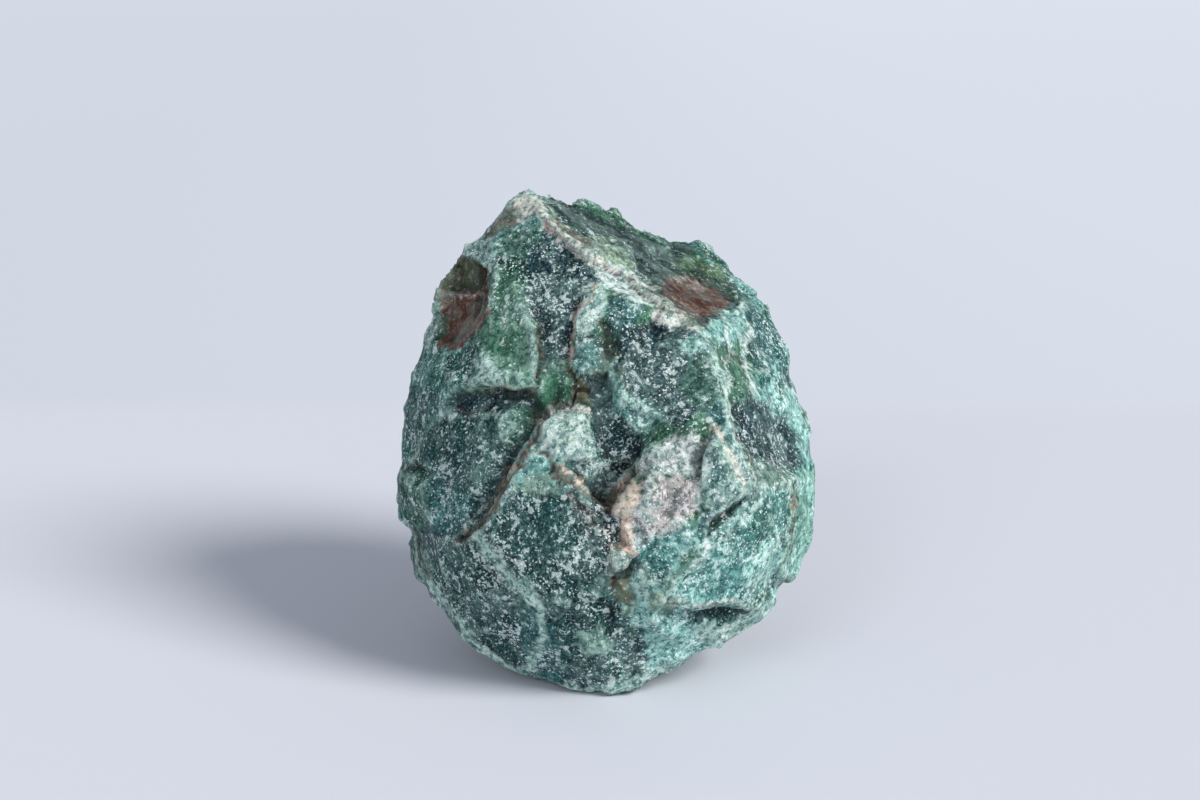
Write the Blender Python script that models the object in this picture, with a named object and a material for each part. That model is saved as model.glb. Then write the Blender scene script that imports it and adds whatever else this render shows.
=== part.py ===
"""A fist-sized serpentine rock: one broken stone with flat faces, ledges, hollows and a small flat spot to rest on.

The front is described as a viewer sees it, with corners given as millimetres across, up and away from the viewer.
The back is described in the stone's own space. Both halves share the outline and close into one solid.
"""

import math

import bmesh
import bpy
import numpy as np
from mathutils import Vector, geometry, noise

# Driving dimensions
MM = 0.001
HEIGHT = 109.5 * MM  # from the flat spot underneath to the peak
EYE_DISTANCE = 436 * MM  # from the viewer's eye to the stone's middle
EYE_ELEVATION = math.radians(16.5)  # how far above the table the eye looks from
MIDDLE_HEIGHT = 51 * MM  # the middle of the view, above the table
LEDGE_RUN = 0.5 * MM  # how far a ledge's foot lies beside its lip
FOOT_SLACK = 0.3 * MM  # whatever lies lower than this ends up on the table
GRID = 0.8 * MM  # the closed skin is sampled at this spacing
TRIANGLES = 9400  # after the flat stretches are thinned out
SEED = Vector((3.1, 7.7, 1.9))  # shifts the noise that roughens the skin

# Roughness of the broken skin: small flat plates tilted at random, shell-shaped chips and lumps of a few grains
PLATE_SIZE = 16 * MM
PLATE_TILT = 0.05  # rise per length across a plate of the front
BACK_TILT = 0.15  # the back has fewer named corners, so its plates are steeper
SMALL_PLATE_SIZE = 5 * MM
SMALL_PLATE_TILT = 0.055
CHIP_SIZE = 8 * MM
CHIP_DEPTH = 0.5 * MM
CHIP_WALL = 1.8  # how steeply a chip rises from its middle to its border
CHIP_BEND = 0.3 * CHIP_SIZE  # how far the borders of chips and plates wander
GRAIN_SIZE = 2.6 * MM
GRAIN_HEIGHT = 0.25 * MM
NOISE_SEED = 7
BACK_BLEND = 20 * MM  # over this depth the front's plates give way to the back's
MERGE_GAP = 0.02 * MM  # the two halves' outline corners are joined within this
SHARP_ANGLE = math.radians(30)
SHADOW_GREEN = (0.055, 0.145, 0.115, 1.0)
ROUGHNESS = 0.45

# The outline, clockwise from the notch beside the peak: millimetres across, up and away from the viewer
OUTLINE = [
    (-19, 60, -5), (-16.5, 59, 0), (-14, 60, 6), (-9, 58, 11), (-5, 58, 15), (-2, 56.5, 19), (2, 54.5, 22),
    (6.5, 52.5, 25), (11.5, 50.5, 28), (17.5, 48, 31), (21, 47.5, 32), (24.5, 46, 32), (26.5, 43.5, 30),
    (31, 39.5, 28), (34.5, 36, 26), (37, 33, 23), (40, 30, 19), (41.5, 26, 16), (44, 20.5, 13), (45, 15, 11),
    (47, 8, 9), (49, 1, 6), (50, -5.5, 4), (50, -11.5, 3), (49.5, -17.5, 3), (49.5, -23.5, 3), (47.5, -27.5, 2),
    (44, -33, 0), (41.5, -35, -5), (40, -39, -9), (37, -43, -13), (33, -45.5, -16), (27, -49, -18),
    (22, -51, -18), (16.5, -54.5, -18), (11.5, -57, -18), (6.5, -59, -18), (1.5, -60.5, -18), (-4, -60.5, -17),
    (-9, -59.5, -16), (-14, -57.5, -14), (-19, -56.5, -12), (-24, -54.5, -10), (-30, -51, -8), (-35, -47.5, -6),
    (-38, -43, -4), (-42, -37.5, -1), (-46, -33, 6), (-47, -27, 8), (-46.5, -21.5, 6), (-49.5, -19.5, 0),
    (-50.5, -14, -2), (-50.5, -9, -2), (-48.5, -5.5, -2), (-49.5, -2, 1), (-48.5, 4, 0), (-49, 9, 0),
    (-48, 13, 0), (-45.5, 19, 0), (-43.5, 26, 0), (-42, 32.5, -1), (-40, 38, -1), (-38, 42.5, -2), (-35, 46, -3),
    (-31, 48.5, -4), (-28.5, 51, -5), (-25, 55.5, -5), (-22.5, 58.5, -5),
]

# Ridges between two facets of the front, in the same measure
RIDGES = {
    "brow": [
        (-19, 60, -5), (-17, 56.5, -9), (-14.5, 53.5, -12), (-10.5, 49.5, -15), (-7, 46.5, -17),
        (-3.5, 45, -17), (1, 44.5, -14), (5, 44, -11), (7, 41, -13), (10, 38, -15), (13, 35, -18),
        (14.5, 32, -23), (18.5, 29, -24.5), (23, 26.5, -25),
    ],
    "brow right": [(23, 26.5, -25), (25, 30, -12), (27.5, 31.5, -2), (30.5, 33.5, 7), (33.5, 33, 12), (37, 33, 23)],
    "scallop foot": [
        (-3.5, 45, -17), (-2.5, 40, -22), (0, 35.5, -25), (4.5, 34, -26), (8.5, 33, -26.5), (12.5, 32, -25),
        (14.5, 32, -23),
    ],
    "rib": [
        (0, 35.5, -25), (-4, 33.5, -24.5), (-7.5, 30.5, -25), (-8.5, 25.5, -26.5), (-10, 20, -27.5),
        (-8.5, 14.5, -28.5), (-8.5, 11, -29.5),
    ],
    "right edge": [
        (23, 26.5, -25), (24, 22.5, -29), (25.5, 16.5, -33), (27.5, 10.5, -36), (29, 6.5, -38), (29, 0, -40.5),
        (31.5, -6, -41), (34, -11.5, -40.5), (36.5, -13.5, -37.5), (40, -12, -31), (44, -10, -24),
    ],
    "cheek": [
        (44, -10, -24), (44.5, -16.5, -22), (43.5, -22.5, -22), (42.5, -27, -20), (42.5, -32, -13),
        (41.5, -35, -5),
    ],
    "lens": [(21, 47.5, 32), (20, 44, 20), (23.5, 42.5, 22), (28, 40.5, 24), (31, 39.5, 28)],
    "keel": [
        (6, -27.5, -39.5), (7, -33.5, -38), (8, -39.5, -34.5), (8.5, -45, -30), (8, -51, -25), (6.5, -59, -18),
    ],
    "plate top": [
        (-17.5, 1, -34.5), (-14, -3.5, -36), (-11, -6, -37), (-7.5, -9.5, -38.2), (-4.5, -13, -39),
        (-2.5, -20, -39.6), (0, -27, -39.4),
    ],
    "nose crest": [
        (10, -1.5, -38.6), (10.5, -6, -40.8), (10, -12, -42), (9, -18, -42.4), (7.5, -24, -41.4), (6, -27.5, -39.5),
    ],
    "streak": [
        (34, -17, -38), (28.5, -22, -39.5), (23, -26.5, -40), (18.5, -30.5, -39.5), (16, -34, -38.5),
        (14.5, -36, -37.5),
    ],
    "shoulder": [
        (-35, 46, -3), (-31.5, 45, -7), (-27.5, 45.5, -10), (-24.5, 48, -10), (-22, 52, -9), (-20, 55.5, -8),
        (-19, 60, -5),
    ],
    "panel left": [
        (-27.5, 45.5, -10), (-27, 40.5, -14), (-27.5, 33.5, -17), (-28, 26, -19.5), (-32.5, 19, -19.5),
        (-38.5, 11.5, -18),
    ],
    "low left edge": [(-49.5, -19.5, 0), (-45.5, -21.5, -3), (-44, -25, -6), (-43.5, -31, -5), (-42, -37.5, -1)],
    "right fold": [
        (33.5, 33, 12), (35.5, 27.5, 5), (37.5, 21.5, 0), (40, 15.5, -4), (43, 9.5, -5), (45, 1, -5),
        (46.5, -5.5, -5), (44, -10, -24),
    ],
}

# Ledges of the front: across, up and away, then how far the surface drops beside that point.
# Walking along the list, the low side is on the right hand.
LEDGES = {
    "main split": [
        (-8.5, 11, -29.5, 0.8), (-10, 9, -30.5, 2), (-14, 7, -32.5, 4), (-16.5, 4.5, -34, 5),
        (-17.5, 1, -34.5, 5.5), (-20, -1.5, -34.5, 5.5), (-23, -7, -34.5, 6), (-26.5, -13.5, -33.5, 5.5),
        (-29.5, -18.5, -31.5, 4.5), (-32.5, -21.5, -29, 3.5), (-35, -24, -25, 0),
    ],
    "panel lip": [
        (-38.5, 11.5, -18, 0), (-33.5, 12.5, -22.5, 2), (-30.5, 13.5, -25, 3), (-28, 13.5, -26.5, 3.6),
        (-25, 12.5, -28, 4), (-21, 11.5, -29.5, 4), (-18, 13, -30, 1),
    ],
    "panel side": [
        (-18, 13, -30, 1), (-16.5, 16, -29.5, 2.6), (-16, 20, -28.8, 2.4), (-16.5, 23.5, -27.5, 2),
        (-17.5, 29, -24.5, 1.4), (-19.5, 35, -20.5, 0.8), (-22.5, 41, -16, 0),
    ],
    "scar rim": [
        (-38, 42.5, -2, 0), (-35, 44.5, -6, 1.2), (-33.5, 42.5, -8.5, 2.8), (-30.5, 41.5, -11.2, 4),
        (-29, 39, -13, 4.8), (-29.5, 36, -14, 5), (-29, 33, -15, 5.2), (-29.5, 30, -15.3, 5),
        (-31.5, 27.5, -15.2, 4.6), (-33.5, 24.5, -14.5, 4), (-36.5, 22.5, -12.5, 2.6), (-40.5, 22, -7, 0),
    ],
    "nose upper": [
        (16, 4.5, -38, 0), (15.5, 1.5, -38.6, 1.6), (13.5, 0, -38.8, 2), (10, -1.5, -38.6, 3),
        (8, -3, -38.6, 4.5), (6.5, -6, -38.8, 7), (3.5, -9, -38.8, 8), (1, -13, -39, 8), (0, -16, -39.5, 2.4),
        (2, -18, -40.5, 2.2), (4, -21, -40.8, 2.2), (5, -24.5, -40.5, 1.8), (6, -27.5, -39.5, 0),
    ],
    "grey lip": [
        (0, -34, -37.8, 0), (1, -32.5, -38.7, 2), (3, -31, -39.5, 3), (5, -29, -39.8, 2.6), (6, -27.5, -39.5, 0),
    ],
    "tooth side": [
        (25.5, 3.5, -38.6, 0), (23.5, 0, -41.4, 2.2), (22.5, -3.5, -42.2, 2.4), (21.5, -7.5, -42.4, 2),
        (21, -11, -41.8, 0),
    ],
    "tooth foot": [
        (24, -24, -40.4, 0), (25, -20.5, -41.6, 2), (27, -18, -41.9, 2.6), (30.5, -15, -41.4, 2.4),
        (34, -11.5, -40.5, 0),
    ],
    "cave lip": [
        (14.5, -36, -37.5, 0), (17.5, -39.5, -35.5, 3.5), (20, -40, -34.5, 5.5), (24, -39, -33.5, 7),
        (26.5, -39, -32, 7), (29.5, -39, -30, 5.5), (32, -39.5, -27.5, 3.5), (34, -41, -23, 0),
    ],
    "pale rib": [
        (-30.5, -25.5, -27.5, 0), (-28.5, -28, -29.5, 1.8), (-25.5, -30.5, -31, 2.4), (-22, -33.5, -32.5, 2.8),
        (-19, -37, -33, 2.8), (-16.5, -39, -32.2, 1.8), (-15, -41, -31, 0),
    ],
    "left step": [(-43, -3.5, -14, 0), (-45, -4, -10.8, 2), (-47, -4.5, -7.4, 2.2), (-48.5, -5.5, -2, 0)],
}

# Single corners that give each facet its slant
CORNERS = {
    "scar floor": [(-32.5, 37.5, -7), (-33, 32, -7.6), (-36, 28, -6.8), (-37, 37, -4), (-38, 25.5, -6.8)],
    "left facet": [
        (-42, 16.5, -9.5), (-43.5, 9.5, -11), (-37.5, 6, -19), (-30, 2.5, -25), (-44.5, 2.5, -11.5),
        (-40, -3.5, -18), (-31.5, -7, -25.5), (-24.5, 2.5, -28.5), (-20.5, 5, -29), (-45, -9.5, -12.5),
        (-42, -16.5, -16), (-35, -16.5, -23.5), (-40, -25, -18), (-45.5, -14.5, -10.5),
    ],
    "low left": [
        (-38.5, -32, -16), (-32.5, -34.5, -22), (-36, -40.5, -11), (-30, -44, -16.5), (-25.5, -38, -27),
        (-23, -46.5, -20), (-18.5, -50, -19.5), (-20.5, -55, -12.5),
    ],
    "big plate": [
        (-11, -24, -37), (-18.5, -15.5, -35.5), (-5, -31, -38.2), (-16, -33.5, -34), (-6.5, -40.5, -34),
        (-1.5, -47.5, -29), (-10, -50, -25), (-1.5, -55, -22),
    ],
    "gully": [
        (-6.5, 11.5, -29.5), (-1.5, 10.5, -29.5), (-1, 2.5, -30.5), (-0.5, -6, -31.5), (-0.5, -12, -32),
        (4.5, -3.5, -32.5), (2.5, 5, -31.5),
    ],
    "swirl": [(-11, 6, -32.6), (-7, 6.5, -32.6), (-5, 1, -33.4), (-3.5, -7, -34.5), (-10.5, 0, -35)],
    "upper facet": [
        (-15, 45, -16.5), (-11, 38, -20.5), (-13.5, 26, -25), (-1.5, 26, -26.8), (0.5, 18, -28.3),
        (3, 28.5, -27), (8, 24, -28.2), (12.5, 15.5, -32), (20, 22.5, -29), (10, 7, -34), (20, 9.5, -36),
        (22, 5, -38), (-5, 19, -28.3),
    ],
    "nose": [
        (14.5, -14.5, -41), (17.5, -3.5, -39.8), (19.5, -19, -40.6), (13, -24, -40.6), (15, -30, -39.6),
        (10, -32, -38),
    ],
    "tooth": [(26.5, -2.5, -42), (27, -10.5, -42.3)],
    "lower right": [
        (29.5, -26, -38), (36.5, -21.5, -33), (34, -33.5, -31.5), (22, -34.5, -36.5), (39, -28.5, -26),
        (37.5, -38, -20), (33, -19, -37.8), (39, -16, -32.5),
    ],
    "cave": [(22, -43, -27), (28, -42.5, -23.5), (20, -47.5, -23.5), (14, -47.5, -27.5), (11.5, -41, -34.5)],
    "right facet": [
        (30.5, 26, -13), (28, 21.5, -22), (33.5, 14.5, -19), (30.5, 13, -29), (37.5, 7, -17), (33, 2.5, -32.5),
        (40, -2.5, -17.5), (36.5, -6, -31), (40, -7.5, -25.5), (47, -14.5, -8), (46.5, -22.5, -8),
        (45, -28.5, -6),
    ],
    "top facet": [
        (-11, 57, 2), (-5, 52, -1), (0.5, 49, 3), (8, 45, 3), (12.5, 42.5, 4), (17.5, 37, 0), (22, 32, -8),
        (15, 46, 20), (27, 37, 14), (8, 48.5, 16), (-1.5, 53.5, 8),
    ],
}

# The back, in the stone's own space: millimetres to the right, away from the viewer and above the table
BACK_RIDGES = {
    "foot": [
        (-14, -20, -0.8), (-17, -8, -0.8), (-15, 9, -0.8), (-4, 18, -0.8), (9, 17, -0.8), (17, 5, -0.8),
        (17, -11, -0.8), (9, -22, -0.8), (-3, -24, -0.8), (-14, -20, -0.8),
    ],
    "low belt": [
        (-44, -4, 22), (-36, 8, 15), (-27, 20, 16), (-13, 31, 21), (3, 35, 18), (18, 32, 15), (31, 22, 18),
        (41, 10, 25),
    ],
    "middle belt": [
        (-49, 0, 48), (-43, 13, 52), (-33, 25, 57), (-18, 36, 54), (-2, 41, 49), (14, 41, 46), (29, 33, 50),
        (42, 20, 48), (48, 8, 50),
    ],
    "high belt": [(-41, 6, 82), (-32, 19, 85), (-17, 31, 80), (-2, 40, 77), (12, 44, 74), (26, 42, 68), (37, 31, 66)],
    "back keel": [(-2, 40, 77), (-2, 41, 49), (3, 35, 18), (-4, 18, -0.8)],
    "left keel": [(-32, 19, 85), (-33, 25, 57), (-27, 20, 16), (-15, 9, -0.8)],
    "right keel": [(26, 42, 68), (29, 33, 50), (31, 22, 18), (17, 5, -0.8)],
    "back crest": [(-17, 31, 80), (-15, 27, 97), (-11, 22, 103)],
}
BACK_LEDGES = {
    "back step": [
        (-38, 19, 70, 1.0), (-29, 27, 71, 2.6), (-19, 35, 68, 3.0), (-9, 39.5, 65, 3.0), (1, 42.5, 62, 2.4),
        (8, 43, 59, 1.0),
    ],
    "back split": [(15, 40, 60, 1.0), (18, 38.5, 50, 2.2), (21, 35, 38, 2.6), (22, 32.5, 28, 2.2), (21, 30, 20, 0.8)],
}
BACK_CORNERS = [
    (-38, 13, 34), (-26, 26, 37), (-12, 35, 34), (4, 38.5, 33), (14, 38, 32), (36, 24, 34), (45, 8, 36),
    (-27, 5, 6), (-28, -18, 7), (26, 8, 6), (27, -14, 6), (5, 26, 8), (-14, 22, 7), (-25, 30, 66), (-9, 36, 72),
    (14, 43, 66), (34, 32, 58), (-22, 25, 92), (2, 34, 88), (14, 40, 83), (-36, 9, 90), (-28, 15, 96),
]


class View:
    """Turns the viewer's millimetres across, up and away into places in the stone's own space, and back."""

    def __init__(self):
        self.centre = Vector((0.0, 0.0, MIDDLE_HEIGHT))
        self.up = Vector((0.0, math.sin(EYE_ELEVATION), math.cos(EYE_ELEVATION)))
        self.away = Vector((0.0, math.cos(EYE_ELEVATION), -math.sin(EYE_ELEVATION)))

    def place(self, across, up, away):
        spread = (EYE_DISTANCE + away) / EYE_DISTANCE
        return self.centre + Vector((across * spread, 0.0, 0.0)) + self.up * up * spread + self.away * away

    def seen(self, point):
        offset = point - self.centre
        away = offset.dot(self.away)
        spread = (EYE_DISTANCE + away) / EYE_DISTANCE
        return Vector((offset.x / spread, offset.dot(self.up) / spread, away))


def clear_scene():
    for item in list(bpy.data.objects):
        bpy.data.objects.remove(item)


class Sheet:
    """One side of the stone: corners over the view, joined along the lines that must stay sharp."""

    def __init__(self):
        self.points = []
        self.lines = []

    def add(self, point):
        self.points.append(Vector(point))
        return len(self.points) - 1

    def add_line(self, points, closed=False):
        ids = [self.add(point) for point in points]
        self.lines += list(zip(ids, ids[1:]))
        if closed:
            self.lines.append((ids[-1], ids[0]))

    def add_ledge(self, points, drops):
        """A lip and, beside it on the right hand, a foot that lies deeper by the drop at each point."""
        self.add_line(points)
        foot = []
        for i, (point, drop) in enumerate(zip(points, drops)):
            if drop == 0:
                continue
            ahead = points[min(i + 1, len(points) - 1)]
            behind = points[max(i - 1, 0)]
            along = (ahead - behind).to_2d().normalized()
            beside = Vector((along.y, -along.x)) * LEDGE_RUN
            foot.append(Vector((point.x + beside.x, point.y + beside.y, point.z + drop)))
        self.add_line(foot)

    def triangles(self):
        """The triangles over the view, and each corner with its distance away."""
        flat = [point.to_2d() for point in self.points]
        spots, _, faces, sources, _, _ = geometry.delaunay_2d_cdt(flat, self.lines, [], 1, 1e-7)
        corners = []
        for spot, source in zip(spots, sources):
            if source:
                away = self.points[source[0]].z
            else:
                away = self.nearest_line_depth(spot)
            corners.append(Vector((spot.x, spot.y, away)))
        return corners, faces

    def nearest_line_depth(self, spot):
        """Where two lines cross, the depth of the line that passes closest."""
        best = None
        for a, b in self.lines:
            start, end = self.points[a], self.points[b]
            run = (end - start).to_2d()
            share = max(0.0, min(1.0, (spot - start.to_2d()).dot(run) / max(run.length_squared, 1e-18)))
            away = start.z + (end.z - start.z) * share
            gap = (start.to_2d() + run * share - spot).length
            if best is None or gap < best[0]:
                best = (gap, away)
        return best[1]


def in_metres(points):
    return [Vector(point[:3]) * MM for point in points]


def front_sheet():
    sheet = Sheet()
    sheet.add_line(in_metres(OUTLINE), closed=True)
    for ridge in RIDGES.values():
        sheet.add_line(in_metres(ridge))
    for ledge in LEDGES.values():
        sheet.add_ledge(in_metres(ledge), [point[3] * MM for point in ledge])
    for corners in CORNERS.values():
        for corner in in_metres(corners):
            sheet.add(corner)
    return sheet


def back_sheet(view):
    sheet = Sheet()
    sheet.add_line(in_metres(OUTLINE), closed=True)
    for ridge in BACK_RIDGES.values():
        sheet.add_line([view.seen(point) for point in in_metres(ridge)])
    for ledge in BACK_LEDGES.values():
        lip = [view.seen(point) for point in in_metres(ledge)]
        sheet.add_ledge(lip, [-point[3] * MM for point in ledge])
    for corner in in_metres(BACK_CORNERS):
        sheet.add(view.seen(corner))
    return sheet


def close_body(view):
    """Joins both sheets along the outline into one closed mesh."""
    body = bmesh.new()
    for sheet in (front_sheet(), back_sheet(view)):
        corners, faces = sheet.triangles()
        verts = [body.verts.new(view.place(*corner)) for corner in corners]
        for face in faces:
            body.faces.new([verts[i] for i in face])
    bmesh.ops.remove_doubles(body, verts=body.verts, dist=MERGE_GAP)
    bmesh.ops.recalc_face_normals(body, faces=body.faces)
    return body


def make_object(name, body):
    mesh = bpy.data.meshes.new(name)
    body.to_mesh(mesh)
    body.free()
    item = bpy.data.objects.new(name, mesh)
    bpy.context.scene.collection.objects.link(item)
    return item


def bake_modifiers(item):
    """Replaces the object's mesh with what its modifiers make of it."""
    graph = bpy.context.evaluated_depsgraph_get()
    baked = bpy.data.meshes.new_from_object(item.evaluated_get(graph))
    item.modifiers.clear()
    item.data = baked


def sample_evenly(item):
    remesh = item.modifiers.new("even skin", "REMESH")
    remesh.mode = "VOXEL"
    remesh.voxel_size = GRID
    bake_modifiers(item)


def chip(place):
    """Shell-shaped chips: deepest in the middle of each cell, zero at the borders between cells."""
    near, far = noise.voronoi(place)[0][:2]
    return min(1.0, (far - near) * CHIP_WALL)


def plate(place, size):
    """How high a spot lies on its plate: each cell of space has a flat plate with a tilt of its own."""
    scaled = place / size
    middle = noise.voronoi(scaled)[1][0]
    tilt = noise.cell_vector(middle) - Vector((0.5, 0.5, 0.5))
    return (scaled - middle).dot(tilt) * 2.0 * size


def roughen(item, view):
    """Moves the skin along its normals by tilted plates, chips and small lumps."""
    noise.seed_set(NOISE_SEED)
    body = bmesh.new()
    body.from_mesh(item.data)
    body.normal_update()
    moves = []
    for vert in body.verts:
        place = vert.co + SEED
        behind = max(0.0, min(1.0, view.seen(vert.co).z / BACK_BLEND))
        tilt = PLATE_TILT + (BACK_TILT - PLATE_TILT) * behind
        bent = place + noise.noise_vector(place / CHIP_SIZE) * CHIP_BEND
        rise = plate(bent, PLATE_SIZE) * tilt + plate(bent, SMALL_PLATE_SIZE) * SMALL_PLATE_TILT
        chips = chip(bent / CHIP_SIZE) * CHIP_DEPTH
        grain = noise.noise(place / GRAIN_SIZE) * GRAIN_HEIGHT
        moves.append(vert.normal * (rise - chips + grain))
    for vert, move in zip(body.verts, moves):
        vert.co += move
    body.to_mesh(item.data)
    body.free()


def read_corners(item):
    corners = np.empty(len(item.data.vertices) * 3)
    item.data.vertices.foreach_get("co", corners)
    return corners.reshape(-1, 3)


def write_corners(item, corners):
    item.data.vertices.foreach_set("co", corners.ravel())
    item.data.update()


def press_foot(item):
    """Scales the stone to its height and presses what lies below the table flat onto it."""
    corners = read_corners(item)
    corners *= HEIGHT / corners[:, 2].max()
    corners[:, 2] = np.maximum(corners[:, 2], 0.0)
    write_corners(item, corners)


def thin_out(item):
    """Fewer, larger triangles where the skin is flat, and the full number at edges and lumps."""
    item.data.calc_loop_triangles()
    decimate = item.modifiers.new("thin out", "DECIMATE")
    decimate.ratio = TRIANGLES / len(item.data.loop_triangles)
    bake_modifiers(item)


def centre_on_foot(item):
    """Makes the flat spot truly flat, moves the stone over the origin and tells how far it moved."""
    corners = read_corners(item)
    corners[corners[:, 2] < FOOT_SLACK, 2] = 0.0
    middle = (corners.min(axis=0) + corners.max(axis=0)) / 2
    corners[:, :2] -= middle[:2]
    write_corners(item, corners)
    return middle[:2]


def stone_material():
    material = bpy.data.materials.new("serpentine")
    material.use_nodes = True
    shader = material.node_tree.nodes["Principled BSDF"]
    shader.inputs["Base Color"].default_value = SHADOW_GREEN
    shader.inputs["Roughness"].default_value = ROUGHNESS
    shader.inputs["Metallic"].default_value = 0.0
    return material


def build_rock():
    view = View()
    rock = make_object("rock", close_body(view))
    sample_evenly(rock)
    roughen(rock, view)
    press_foot(rock)
    thin_out(rock)
    moved = centre_on_foot(rock)
    rock.data.materials.clear()
    rock.data.materials.append(stone_material())
    rock.data.set_sharp_from_angle(angle=SHARP_ANGLE)
    size = [round(side / MM, 1) for side in rock.dimensions]
    print("rock:", size, "mm,", len(rock.data.polygons), "faces, moved by", [round(-x / MM, 2) for x in moved])


clear_scene()
build_rock()
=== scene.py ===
# %% [markdown]
# # A serpentine rock
#
# This lesson dresses one broken stone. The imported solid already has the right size, facets and
# ledges, so it is loaded first and everything else is measured against it. Its box is kept, to
# see at the end that the dressed stone still has that size.

# %% Load the solid
import math

import bpy
import numpy as np
from mathutils import Euler, Matrix, Vector, noise
from mathutils.bvhtree import BVHTree


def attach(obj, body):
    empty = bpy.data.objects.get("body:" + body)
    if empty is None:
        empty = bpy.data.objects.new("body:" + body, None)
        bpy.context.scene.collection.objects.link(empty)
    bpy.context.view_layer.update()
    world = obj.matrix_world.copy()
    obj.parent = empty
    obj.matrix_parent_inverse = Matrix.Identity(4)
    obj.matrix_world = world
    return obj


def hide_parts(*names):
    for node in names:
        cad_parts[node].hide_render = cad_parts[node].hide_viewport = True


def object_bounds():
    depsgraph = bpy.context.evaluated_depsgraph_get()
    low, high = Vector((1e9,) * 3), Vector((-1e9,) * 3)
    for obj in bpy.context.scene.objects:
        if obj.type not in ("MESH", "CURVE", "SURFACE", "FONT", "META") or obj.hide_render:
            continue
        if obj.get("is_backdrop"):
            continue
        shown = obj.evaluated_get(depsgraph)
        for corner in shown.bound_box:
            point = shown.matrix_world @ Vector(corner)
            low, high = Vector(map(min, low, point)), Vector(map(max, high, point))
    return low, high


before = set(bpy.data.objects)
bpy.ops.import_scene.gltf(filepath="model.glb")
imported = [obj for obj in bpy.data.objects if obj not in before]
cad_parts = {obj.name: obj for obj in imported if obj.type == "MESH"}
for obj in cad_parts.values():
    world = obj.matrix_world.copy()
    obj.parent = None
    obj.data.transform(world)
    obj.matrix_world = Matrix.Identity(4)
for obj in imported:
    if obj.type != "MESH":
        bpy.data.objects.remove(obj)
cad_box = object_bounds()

MM = 0.001
NOISE_SEED = 5  # the same stone comes out on every run


def in_mm(box):
    return [[round(x / MM, 1) for x in corner] for corner in box]


noise.seed_set(NOISE_SEED)
bpy.ops.object.select_all(action="DESELECT")
print("solid, lowest and highest corner in mm:", in_mm(cad_box))

# %% [markdown]
# ## Where the viewer stands
#
# A stone has no straight lines to measure from, so every mark on its front is given as the viewer
# sees it: how many millimetres across and up from the middle of the view. One helper turns a place
# on the stone into those two numbers, and the camera stands at the same eye. The two can't drift
# apart, because they share the same values.

# %% The viewer's eye
EYE_DISTANCE = 439 * MM
EYE_ELEVATION = math.radians(16.5)
VIEW_MIDDLE = Vector((-0.2 * MM, 0, 51.3 * MM))
LENS = 55
SENSOR = 36
NEAREST_SEEN = 0.01
PICTURE_WIDTH = 1200
# how far the view's middle lies from the picture's middle, in pixels of a picture that wide
MIDDLE_RIGHT = 7
MIDDLE_LOW = 40

up_axis = Vector((0, math.sin(EYE_ELEVATION), math.cos(EYE_ELEVATION)))
away_axis = Vector((0, math.cos(EYE_ELEVATION), -math.sin(EYE_ELEVATION)))
eye = VIEW_MIDDLE - away_axis * EYE_DISTANCE


def add_camera():
    focal = LENS / SENSOR * PICTURE_WIDTH
    pitch = EYE_ELEVATION - math.atan(MIDDLE_LOW / focal)
    yaw = math.atan(MIDDLE_RIGHT / focal)
    data = bpy.data.cameras.new("camera")
    data.lens = LENS
    data.sensor_width = SENSOR
    data.clip_start = NEAREST_SEEN
    camera = bpy.data.objects.new("camera", data)
    bpy.context.scene.collection.objects.link(camera)
    turn = Euler((math.pi / 2 - pitch, 0, yaw)).to_matrix().to_4x4()
    camera.matrix_world = Matrix.Translation(eye) @ turn
    bpy.context.scene.camera = camera
    return camera


camera = add_camera()
print("camera", [round(x, 3) for x in camera.location])

# %% [markdown]
# ## Shader maths as plain expressions
#
# A stone's material is mostly arithmetic on noise. Written as node calls it would be hard to read,
# so a small class wraps a socket and lets Python's own operators add the Math nodes. A second
# class holds a material's nodes, and adds every other kind of node.

# %% A small language for shader nodes
class Wire:
    """One output socket that can be used like a number."""

    def __init__(self, board, socket):
        self.board = board
        self.socket = socket

    def maths(self, operation, *others):
        sockets = dict(enumerate([self, *others]))
        return self.board.node("ShaderNodeMath", sockets, operation=operation)

    def __add__(self, other):
        return self.maths("ADD", other)

    def __radd__(self, other):
        return self.maths("ADD", other)

    def __sub__(self, other):
        return self.maths("SUBTRACT", other)

    def __rsub__(self, other):
        return self.board.node("ShaderNodeMath", {0: other, 1: self}, operation="SUBTRACT")

    def __mul__(self, other):
        return self.maths("MULTIPLY", other)

    def __rmul__(self, other):
        return self.maths("MULTIPLY", other)

    def larger(self, other):
        return self.maths("MAXIMUM", other)

    def rise(self, low, high):
        """0 below low, 1 above high, and a smooth slope between them."""
        sockets = {"Value": self, "From Min": low, "From Max": high}
        return self.board.node("ShaderNodeMapRange", sockets, interpolation_type="SMOOTHSTEP")


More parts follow.
